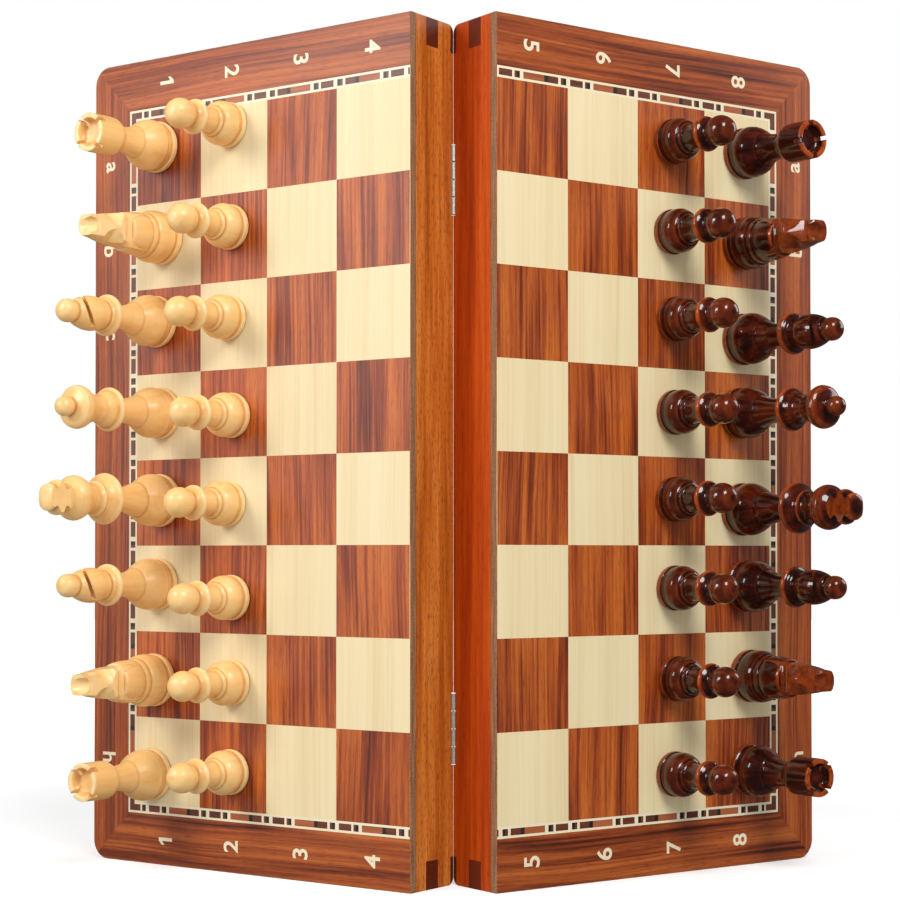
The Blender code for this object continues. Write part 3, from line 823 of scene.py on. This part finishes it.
def build_coordinates(colour):
    side = SIDES[colour]
    gathered = bmesh.new()
    for text, u, z, way in coordinates(colour):
        parts = [glyph(text)]
        if text == "1":
            levels = (-GLYPH_HALF_THICKNESS, FLAG_TOP)
            parts.append(as_mesh(stack([[(x, y, h) for x, y in FLAG_OF_ONE] for h in levels])))
        face = HALF_DEPTH + GLYPH_LIFT
        rows = ((0, side * way, 0, u), (0, 0, 1, face), (-way, 0, 0, z), (0, 0, 0, 1))
        for mesh in parts:
            mesh.transform(Matrix(rows))
            gathered.from_mesh(mesh)
    bmesh.ops.recalc_face_normals(gathered, faces=gathered.faces)
    grain = gathered.loops.layers.float_vector.new("grain")
    for face in gathered.faces:
        for loop in face.loops:
            loop[grain] = (side * loop.vert.co.x, loop.vert.co.z, 0)
    add_to_half(f"{colour}_coordinates", gathered, colour, ["inlay_light_maple"], "playing_veneer")


def build_felt(colour):
    """The tray's liner: a thin felt sheet with rounded edges."""
    far = (HALF_WIDTH - FELT_EDGE, FELT_BACK, BOARD - FELT_EDGE)
    bm = box((FELT_EDGE, FELT_FACE, FELT_EDGE), far)
    bmesh.ops.bevel(bm, geom=list(bm.edges), offset=0.35, segments=3, profile=0.5, affect="EDGES")
    name, node = f"{colour}_liner_felt", f"{colour}_felt_liner"
    thing = add_to_half(name, bm, colour, ["green_felt"], "green_felt", node, sharp_from=60)


# ---- hinges ----

# A countersunk screw as (radius, depth below the top of its head)
SCREW_TOP = SPINE + 0.05
SCREW = [
    (0, 0), (1.05, 0), (1.3, 0.06), (1.4, 0.16), (1.36, 0.3), (0.75, 0.85), (0.7, 5.138),
    (0.35, 6.038), (0, 6.438),
]
SCREW_SLOT_DEPTH = 0.28
SCREW_HOLE = [(0, -1), (1.75, -1), (1.75, SPINE + 0.1), (1.5, SPINE + 0.4), (1.5, 2), (0, 2)]
KNUCKLE_SOFTENING = 0.12


def inward(z):
    """Turns a part made round Z so that it points into the rail at a screw's place."""
    return Matrix.Translation((SCREW_REACH, 0, z)) @ Matrix.Rotation(math.radians(-90), 4, "X")


def knuckle(low, high):
    soft, radius = KNUCKLE_SOFTENING, KNUCKLE_RADIUS
    path = [
        (KNUCKLE_BORE, low), (radius - soft, low), (radius, low + soft),
        (radius, high - soft), (radius - soft, high), (KNUCKLE_BORE, high),
    ]
    return turned(path, 32, closed=True)


def leaf_mesh(side, z):
    """A leaf: a plate with rounded outer corners, every other knuckle, and two screw holes."""
    start = z - HINGE_LENGTH / 2
    top = SPINE + LEAF_THICKNESS
    plate = box((MORTISE_DEPTH, SPINE, start), (LEAF_REACH, top, start + HINGE_LENGTH))
    corners = [
        edge for edge in plate.edges
        if all(vert.co.x > LEAF_REACH - 0.01 for vert in edge.verts)
        and abs(edge.verts[0].co.y - edge.verts[1].co.y) > 0.1
    ]
    bmesh.ops.bevel(plate, geom=corners, offset=1.2, segments=6, profile=0.5, affect="EDGES")
    joined = []
    for index in range(0 if side < 0 else 1, 4, 2):
        low = start + index * KNUCKLE_PITCH
        high = low + KNUCKLE_LENGTH
        tongue = box((KNUCKLE_BORE + 0.15, SPINE, low + 0.05), (MORTISE_DEPTH + 0.4, top, high - 0.05))
        joined.append(combine(knuckle(low, high), "UNION", [tongue]))
    holes = []
    for screw_z in (z - SCREW_SPREAD, z + SCREW_SPREAD):
        hole = turned(SCREW_HOLE, 32)
        hole.transform(inward(screw_z))
        holes.append(hole)
    return combine(combine(plate, "UNION", joined), "DIFFERENCE", holes)


def screw_mesh(slot_angle):
    slot = box((-0.16, -1.6, -1), (0.16, 1.6, SCREW_TOP + SCREW_SLOT_DEPTH))
    slot.transform(Matrix.Rotation(math.radians(slot_angle), 4, "Z"))
    body = turned([(radius, SCREW_TOP + depth) for radius, depth in SCREW], 32)
    return combine(body, "DIFFERENCE", [slot])


def build_hinges(colour):
    for end, z in HINGE_PLACES.items():
        leaf, node = as_bmesh(leaf_mesh(SIDES[colour], z)), f"{colour}_hinge_leaf_{end}"
        add_to_half(f"{colour}_leaf_{end}_metal", leaf, colour, ["nickel"], "nickel", node)
        for where, screw_z in (("lower", z - SCREW_SPREAD), ("upper", z + SCREW_SPREAD)):
            screw = as_bmesh(screw_mesh(chance.uniform(0, 180)))
            screw.transform(inward(screw_z))
            name, node = f"{colour}_screw_{end}_{where}_metal", f"{colour}_hinge_screw_{end}_{where}"
            add_to_half(name, screw, colour, ["nickel"], "nickel", node)


def build_pins():
    half, radius, soft = HINGE_LENGTH / 2, PIN_RADIUS, PIN_SOFTENING
    for end, z in HINGE_PLACES.items():
        pin = turned([
            (0, z - half), (radius - soft, z - half), (radius, z - half + soft),
            (radius, z + half - soft), (radius - soft, z + half), (0, z + half),
        ], 24)
        add_to_half(f"hinge_pin_{end}_metal", pin, "white", ["nickel"], "nickel", f"hinge_pin_{end}")


# ---- the chess pieces: profiles of (radius, height), with 1 where the tool left a crisp corner ----


def foot(radius):
    return [
        (0, 0, 1), (radius - 0.15, 0, 1), (radius, 0.5), (radius, 1.75, 1), (radius - 0.6, 2.2, 1),
        (radius - 0.65, 3.2), (radius - 0.5, 4.5, 1), (radius - 0.1, 5.0, 1), (radius - 0.1, 6.3),
        (radius - 0.5, 8.2), (radius - 1.2, 9.9), (radius - 2.15, 11.5), (radius - 2.8, 12.5),
        (radius - 3.1, 13.0, 1), (radius - 3.6, 13.5, 1),
    ]


KING_TOP = [
    (6.25, 14.4), (6.05, 15.6), (5.3, 18.2), (4.6, 21.0), (4.4, 24.0), (4.6, 27.0), (5.2, 28.2, 1),
    (8.6, 29.0), (9.4, 30.0), (9.2, 31.0), (8.0, 32.2), (6.9, 33.6), (6.6, 34.4, 1), (6.3, 34.8, 1),
    (6.5, 35.4),
    (5.8, 36.4, 1), (5.4, 37.2), (5.35, 38.2), (5.6, 39.6), (6.5, 41.5), (7.5, 43.2), (8.15, 45.2),
    (8.0, 46.8, 1), (7.2, 48.2), (5.9, 49.4), (5.0, 50.2, 1), (4.5, 51.2), (4.5, 52.0), (5.2, 52.7),
    (6.3, 53.3, 1), (6.35, 54.0), (6.2, 54.7, 1), (4.9, 55.8), (4.45, 56.4), (4.6, 57.0),
    (4.9, 57.7), (4.7, 58.5), (3.7, 59.1), (2.2, 59.35), (0, 59.4, 1),
]
QUEEN_TOP = [
    (5.2, 16.5), (4.75, 19.0), (4.5, 22.0), (4.6, 25.0), (5.2, 26.3, 1), (7.4, 26.9), (8.05, 28.0),
    (7.8, 28.9), (6.9, 29.5), (6.5, 30.4), (6.1, 31.8), (5.6, 32.8, 1), (5.3, 33.3, 1), (5.0, 34.6),
    (4.95, 36.4), (5.4, 38.2), (6.4, 40.4), (7.4, 42.2), (7.9, 43.8), (7.6, 45.5, 1), (6.6, 46.3),
    (4.6, 46.9), (3.2, 47.3), (2.8, 47.6, 1), (3.35, 48.6), (3.6, 50.1), (3.2, 51.9), (1.8, 53.2),
    (0, 53.7, 1),
]
BISHOP_TOP = [
    (5.2, 16.3), (4.6, 18.4), (4.4, 21.0), (4.5, 24.0), (5.1, 25.3, 1), (7.1, 26.0), (7.7, 27.2),
    (7.4, 28.1), (6.3, 28.8), (5.8, 29.5, 1), (5.3, 29.9, 1), (5.7, 32.0), (6.3, 34.4), (6.4, 36.0),
    (6.15, 38.5), (5.4, 41.2), (4.4, 43.3), (3.6, 44.2, 1), (4.05, 45.3), (4.25, 46.8), (3.9, 48.7),
    (2.5, 50.3), (0, 51.0, 1),
]
ROOK_TOP = [
    (5.3, 15.8), (4.85, 18.0), (4.65, 20.5), (4.7, 22.5), (5.2, 23.8, 1), (6.3, 24.6), (6.95, 26.0),
    (7.1, 28.5), (7.05, 33.0), (7.0, 37.2, 1), (5.3, 37.2, 1), (4.9, 35.4), (3.6, 34.2), (0, 33.9, 1),
]
PAWN = [
    (0, 0, 1), (8.15, 0, 1), (8.3, 0.5), (8.3, 1.7, 1), (7.8, 2.1, 1), (7.75, 3.3, 1), (8.05, 3.8, 1),
    (8.15, 5.0), (7.95, 6.6), (7.35, 8.0), (6.6, 9.0), (6.1, 9.4, 1), (5.6, 9.6, 1), (5.5, 10.2),
    (5.0, 10.8, 1), (4.75, 11.0, 1), (4.5, 12.2), (4.35, 14.2), (4.4, 16.0), (4.6, 17.4, 1),
    (5.9, 18.1), (6.4, 19.1), (6.2, 20.0), (5.2, 20.8), (4.5, 21.6), (4.2, 22.4, 1), (5.0, 24.0),
    (5.5, 26.6), (5.0, 29.0), (3.6, 31.0), (1.9, 31.9), (0, 32.1, 1),
]
KNIGHT_FOOT = [
    (0, 0, 1), (9.75, 0, 1), (9.9, 0.5), (9.9, 1.9, 1), (9.25, 2.5, 1), (9.15, 3.1, 1), (9.7, 3.9),
    (9.8, 6.0), (9.6, 8.3), (8.9, 10.2, 1), (8.3, 10.9, 1), (8.35, 11.6), (8.2, 12.6), (7.8, 13.3, 1),
    (7.95, 15.0), (7.8, 18.0), (7.3, 21.2), (6.9, 22.4, 1), (0, 23.2, 1),
]


CORNER_SOFTENING = 0.16


def smooth_run(run, gap):
    """A run of points between two corners, as a Catmull-Rom curve with a point at every gap."""
    if len(run) == 2:
        return list(run)
    points = [run[0] * 2 - run[1], *run, run[-1] * 2 - run[-2]]
    path = [run[0]]
    for a, b, c, d in zip(points, points[1:], points[2:], points[3:]):
        steps = max(2, round((c - b).length / gap))
        for step in range(1, steps + 1):
            t = step / steps
            square = (2 * a - 5 * b + 4 * c - d) * t * t
            cube = (3 * b - a - 3 * c + d) * t * t * t
            path.append(0.5 * (2 * b + (c - a) * t + square + cube))
    return path


def sampled(profile, gap=0.45):
    """Follows a profile: a smooth curve between corners, with each corner softened."""
    runs, run = [], []
    for point in profile:
        run.append(Vector(point[:2]))
        if len(point) > 2 and len(run) > 1:
            runs.append(run)
            run = [run[-1]]
    paths = [smooth_run(run, gap) for run in runs]
    clear = CORNER_SOFTENING * 1.3
    out = [paths[0][0]]
    for index, path in enumerate(paths):
        body = path[1:-1]
        if index:
            body = [p for p in body if (p - path[0]).length > clear]
        if index == len(paths) - 1:
            out += [*body, path[-1]]
            break
        corner = path[-1]
        out += [p for p in body if (p - corner).length > clear]
        softened = []
        for beside in (path[-2] - corner, paths[index + 1][1] - corner):
            reach = min(CORNER_SOFTENING, beside.length * 0.4)
            softened.append(corner + beside.normalized() * reach)
        out += [softened[0], (softened[0] + 2 * corner + softened[1]) / 4, softened[1]]
    return [(max(p.x, 0.0), p.y) for p in out]


def form_of(path):
    """How proud each point of a path is: 1 on an outer edge, 0.5 on a flank, 0 in a groove."""
    steps = [(r1 - r0, h1 - h0) for (r0, h0), (r1, h1) in zip(path, path[1:])]
    lengths = [0.0]
    for step in steps:
        lengths.append(lengths[-1] + math.hypot(*step))
    turns = [0.0] * len(path)
    for i, ((ax, ay), (bx, by)) in enumerate(zip(steps, steps[1:]), 1):
        if path[i][0] > 0.5:
            turns[i] = math.atan2(ax * by - ay * bx, ax * bx + ay * by)
    form = []
    for here in lengths:
        total = 0.0
        for there, turn in zip(lengths, turns):
            if abs(here - there) < 2.0:
                total += turn * math.exp(-((here - there) / 0.55) ** 2)
        form.append(max(0.0, min(1.0, 0.5 + 0.65 * total)))
    return form


def turned_piece(profile, sides=64):
    path = sampled(profile)
    bm = turned(path, sides)
    form_layer = bm.verts.layers.float.new("form")
    is_turned = bm.faces.layers.int.new("is_turned")
    for face in bm.faces:
        face[is_turned] = 1
    verts = iter(bm.verts)
    for (radius, _), form in zip(path, form_of(path)):
        for _ in range(sides if radius > ON_AXIS else 1):
            next(verts)[form_layer] = form
    return as_mesh(bm)


CROSS_HALF_THICKNESS = 3.3
CROSS_FOOT = 49.8
MITRE_SLIT_HEIGHT = 37.0
MITRE_SLIT_SLOPE = math.radians(43)
ROOK_HEIGHT = 37.2
BATTLEMENT_SLOT = 1.6
BATTLEMENT_DEPTH = 3.0


def king_cuts():
    """Flattens the finial on the side towards the spine and on the side away from it."""
    flat = CROSS_HALF_THICKNESS
    return [box((flat, -20, CROSS_FOOT), (20, 20, 70)), box((-20, -20, CROSS_FOOT), (-flat, 20, 70))]


def bishop_cuts():
    slit = box((1.0, -12, -0.6), (12, 12, 0.6))
    slope = Matrix.Rotation(-MITRE_SLIT_SLOPE, 4, "Y")
    slit.transform(Matrix.Translation((0, 0, MITRE_SLIT_HEIGHT)) @ slope)
    return [slit]


def rook_cuts():
    half, low = BATTLEMENT_SLOT / 2, ROOK_HEIGHT - BATTLEMENT_DEPTH
    return [box((-12, -half, low), (12, half, 45)), box((-half, -12, low), (half, 12, 45))]


# The sawn head from the side: the face as (forward, height) with 1 at crisp corners, then by
# height the half width of the face, the half width of the flanks, and the mane's reach behind
KNIGHT_FACE = [
    (5.6, 12.4, 1), (5.8, 16.5), (5.8, 20.0), (5.5, 22.4, 1), (5.0, 23.6), (5.0, 25.0),
    (5.8, 26.2), (7.4, 27.0, 1), (8.0, 28.4), (7.7, 30.2, 1), (6.8, 32.4), (5.7, 35.4),
    (4.9, 38.0, 1), (3.9, 38.7, 1), (4.5, 39.5, 1), (3.9, 41.8, 1),
]
KNIGHT_WIDTHS = [
    (12.4, 4.4, 6.6, 7.7), (17.0, 4.4, 6.6, 7.7), (22.4, 4.6, 6.2, 7.6), (27.0, 4.7, 5.8, 7.2),
    (30.2, 4.4, 5.4, 6.8), (34.0, 4.0, 4.9, 5.9), (38.2, 3.7, 4.1, 4.2), (41.8, 3.7, 3.8, 2.4),
]
FLANK_STEPS = 7
# Round cuts in the cheeks and the neck, as (forward, height, radius, distance from the middle)
KNIGHT_SCOOPS = [(6.0, 33.4, 4.4, 7.6), (6.2, 24.9, 2.8, 7.0)]
KNIGHT_SCOOP_TURN = math.radians(42)
EAR_HOLLOW_SLOPE = math.radians(117)


def knight_width(height):
    """The half width of the face, the half width of the flanks and the mane's reach at a height."""
    for low, high in zip(KNIGHT_WIDTHS, KNIGHT_WIDTHS[1:]):
        if height <= high[0]:
            break
    share = (height - low[0]) / (high[0] - low[0])
    return [a + (b - a) * share for a, b in zip(low[1:], high[1:])]


def knight_head():
    loops = []
    for forward, height in sampled(KNIGHT_FACE):
        face, flank, reach = knight_width(height)
        half = [(forward + 0.25, 0), (forward, face), (forward - 1.1, flank)]
        for step in range(FLANK_STEPS):
            angle = math.radians(90 * step / (FLANK_STEPS - 1))
            half.append((-reach * (0.15 + 0.85 * math.sin(angle)), flank * math.cos(angle)))
        mirrored = [(x, -y) for x, y in half[1:-1]]
        loops.append([(x, y, height) for x, y in half + mirrored[::-1]])
    cutters = []
    lying = Matrix.Rotation(math.radians(90), 4, "Y")
    for side in (-1, 1):
        turn = Matrix.Rotation(side * -KNIGHT_SCOOP_TURN, 4, "Z")
        for forward, height, radius, clear in KNIGHT_SCOOPS:
            scoop = turned([(0, -14), (radius, -14), (radius, 14), (0, 14)])
            scoop.transform(Matrix.Translation((forward, side * clear, height)) @ turn @ lying)
            cutters.append(scoop)
    hollow = turned([(0, -9), (2.9, -9), (2.9, 12), (0, 12)], 40)
    slope = Matrix.Rotation(EAR_HOLLOW_SLOPE, 4, "Y")
    hollow.transform(Matrix.Translation((0.4, 0, 44.0)) @ slope)
    return combine(stack(loops), "DIFFERENCE", [*cutters, hollow])


# What a sawn face counts as between groove and edge
SAWN_FORM = 0.78

BASE_RADII = {"king": 9.9, "queen": 9.6, "bishop": 9.7, "rook": 9.6, "knight": 9.9, "pawn": 8.3}
TOPS = {"king": KING_TOP, "queen": QUEEN_TOP, "bishop": BISHOP_TOP, "rook": ROOK_TOP}
CUTS = {"king": king_cuts, "bishop": bishop_cuts, "rook": rook_cuts}
PAD_INSET = 0.25
PIECE_WOODS = {"white": "boxwood", "black": "rosewood_lacquer"}
# How far the cuts of a round piece are turned from the spine towards the a-file, in degrees
TURNS = {
    "white_rook_a": 38, "white_rook_h": 45, "black_rook_a": -10, "black_rook_h": 45,
    "white_bishop_c": 30, "white_bishop_f": 30, "black_bishop_c": -15, "black_bishop_f": -5,
}


def base_place(node, side):
    """Where a CAD piece stands in its half's local frame: the middle of its base."""
    flatten = half_matrix(side).inverted()
    points = [flatten @ vert.co for vert in frame["nodes"][node].data.vertices]
    base_y = max(point.y for point in points)
    base = [point for point in points if point.y > base_y - 0.5 * MM]
    xs = [point.x for point in base]
    zs = [point.z for point in base]
    return Vector(((min(xs) + max(xs)) / 2, base_y, (min(zs) + max(zs)) / 2))


def piece_mesh(kind):
    """A piece in millimetres, turned on its base's foot, with its cuts or its sawn head."""
    if kind == "knight":
        return combine(turned_piece(KNIGHT_FOOT), "UNION", [knight_head()])
    mesh = turned_piece(PAWN if kind == "pawn" else foot(BASE_RADII[kind]) + TOPS[kind])
    return combine(mesh, "DIFFERENCE", CUTS[kind]()) if kind in CUTS else mesh


def stand_piece(node, kind, colour, mesh):
    side = SIDES[colour]
    thing = link(f"{node}_wood", mesh)
    facing = Matrix.Rotation(0.0 if side < 0 else math.pi, 4, "Z")
    spin = Matrix.Rotation(math.radians(-side * TURNS.get(node, 0)), 4, "Z")
    upright = Matrix.Translation(base_place(node, side)) @ Matrix.Rotation(math.radians(90), 4, "X")
    place = half_matrix(side) @ upright @ facing
    thing.matrix_world = place @ spin
    thing["billet"] = list(random_place(500))
    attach(thing, node)
    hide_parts(node)

    radius = BASE_RADII[kind] - PAD_INSET
    pad = turned([(0, -0.28), (radius - 0.1, -0.28), (radius, -0.2), (radius, -0.02), (0, -0.005)])
    pad.transform(Matrix.Scale(MM, 4))
    bmesh.ops.recalc_face_normals(pad, faces=pad.faces)
    pad = mesh_object(f"{node}_base_felt", pad, ["base_felt"], 50)
    pad.matrix_world = place
    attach(pad, node)


def build_pieces(colour, shapes):
    for file_index, kind in enumerate(BACK_RANK):
        name = f"{colour}_{kind}"
        if kind not in ("king", "queen"):
            name += f"_{FILES[file_index]}"
        for node, shape in ((name, kind), (f"{colour}_pawn_{FILES[file_index]}", "pawn")):
            mesh = shapes[shape].copy()
            mesh.materials.clear()
            mesh.materials.append(MATERIALS[PIECE_WOODS[colour]])
            stand_piece(node, shape, colour, mesh)


def piece_shapes():
    shapes = {}
    for kind in BASE_RADII:
        mesh = piece_mesh(kind)
        mesh.transform(Matrix.Scale(MM, 4))
        bm = as_bmesh(mesh)
        grain = bm.verts.layers.float_vector.new("grain")
        for vert in bm.verts:
            vert[grain] = vert.co.xzy / MM
        turned_form, is_turned = bm.verts.layers.float["form"], bm.faces.layers.int["is_turned"]
        shape = bm.loops.layers.float.new("shape")
        for face in bm.faces:
            for loop in face.loops:
                loop[shape] = loop.vert[turned_form] if face[is_turned] else SAWN_FORM
        bm.to_mesh(mesh)
        bm.free()
        mesh.shade_smooth()
        mesh.set_sharp_from_angle(angle=math.radians(42))
        shapes[kind] = mesh
    return shapes


# ---- stage, light and camera ----


def build_stage():
    """A pale floor, bright enough to meet the white background, which throws no light back up."""
    bm = bmesh.new()
    bmesh.ops.create_grid(bm, x_segments=24, y_segments=24, size=3.0)
    s = Shader("studio_floor")
    place = s.place()
    cloud = s.noise(place, (6, 6, 6))
    s.set(Base_Color=s.ramp(cloud, [(0.3, (228, 228, 228)), (0.7, (236, 236, 236))]))
    s.set(Roughness=s.remap(cloud, 0, 1, 0.7, 0.8), Specular_IOR_Level=0.2)
    away = s.node("VectorMath", {0: place}, operation="LENGTH").outputs["Value"]
    s.set(Emission_Color=(1, 1, 1, 1), Emission_Strength=s.remap(away, 0.25, 0.9, 0.42, 1.0))
    floor = mesh_object("floor", bm, ["studio_floor"])
    floor.visible_glossy = False
    floor.visible_diffuse = False


def area_light(name, direction, distance, size, watts):
    """A square lamp in a direction from the middle of the set, turned to face it."""
    centre = Vector((0, 0, BOARD * MM / 2))
    data = bpy.data.lights.new(name, "AREA")
    data.shape = "SQUARE"
    data.size = size
    data.energy = watts
    lamp = link(name, data)
    away = Vector(direction).normalized() * distance
    facing = away.to_track_quat("Z", "Y").to_matrix().to_4x4()
    lamp.matrix_world = Matrix.Translation(centre + away) @ facing
    return lamp


def build_light():
    """Two softboxes and two reflectors in a dim studio, with a white wall behind for the camera."""
    world = bpy.data.worlds.new("studio")
    bpy.context.scene.world = world
    world.use_nodes = True
    tree = world.node_tree
    path = tree.nodes.new("ShaderNodeLightPath")
    seen = None
    for ray, strength in (("", 0.49), ("Is Glossy Ray", 0.07), ("Is Camera Ray", 1.0)):
        sky = tree.nodes.new("ShaderNodeBackground")
        sky.inputs["Color"].default_value = (1, 1, 1, 1)
        sky.inputs["Strength"].default_value = strength
        chosen = sky.outputs[0]
        if ray:
            mixed = tree.nodes.new("ShaderNodeMixShader")
            for socket, source in zip(mixed.inputs, (path.outputs[ray], seen, chosen)):
                tree.links.new(source, socket)
            chosen = mixed.outputs[0]
        seen = chosen
    tree.links.new(seen, tree.nodes["World Output"].inputs["Surface"])
    area_light("softbox_left", (-0.82, -0.46, 0.40), 1.25, 0.40, 6.3)
    area_light("softbox_right", (0.27, -0.74, 0.60), 1.15, 0.44, 8.6)
    for name, direction, watts in (
        ("reflector_left", (-0.94, -0.25, 0.17), 2.8), ("reflector_right", (0.93, 0.28, 0.38), 3.0),
    ):
        area_light(name, direction, 1.2, 0.5, watts).visible_diffuse = False


# Where the camera stands, in millimetres: beside the hinge line, in front of it and above z = 0
CAMERA_ASIDE = -1.2
CAMERA_IN_FRONT = 23.12 * SQUARE
CAMERA_HEIGHT = BOARD / 2 - 1.104 * SQUARE
CAMERA_TILT = math.radians(0.937)
CAMERA_LENS = 84.55
CAMERA_SHIFT = 0.0778


def build_camera():
    data = bpy.data.cameras.new("camera")
    data.sensor_width = 36.0
    data.lens = CAMERA_LENS
    data.shift_y = CAMERA_SHIFT
    camera = link("camera", data)
    away = HINGE_Y - CAMERA_IN_FRONT * MM
    camera.location = (CAMERA_ASIDE * MM, away, CAMERA_HEIGHT * MM)
    camera.rotation_euler = (math.radians(90) + CAMERA_TILT, 0, 0)
    bpy.context.scene.camera = camera
    bpy.context.scene.view_settings.view_transform = "Standard"


def main():
    build_camera()
    build_light()
    build_stage()
    make_materials()
    rails = [
        ("spine_rail", spine_rail(), "z"),
        ("outer_rail", long_rail(HALF_WIDTH - RAIL_THICKNESS, HALF_WIDTH + 1), "z"),
        ("h_end_rail", end_rail(-1, RAIL_THICKNESS), "u"),
        ("a_end_rail", end_rail(BOARD - RAIL_THICKNESS, BOARD + 1), "u"),
    ]
    for colour in SIDES:
        build_panel(colour)
        build_coordinates(colour)
        for part, mesh, along in rails:
            add_rail(colour, part, mesh, along)
        build_felt(colour)
        build_hinges(colour)
        steel = frame["nodes"][f"{colour}_steel_sheet"]
        steel.data.materials.clear()
        steel.data.materials.append(MATERIALS["steel_sheet"])
    build_pins()
    shapes = piece_shapes()
    for colour in SIDES:
        build_pieces(colour, shapes)


main()
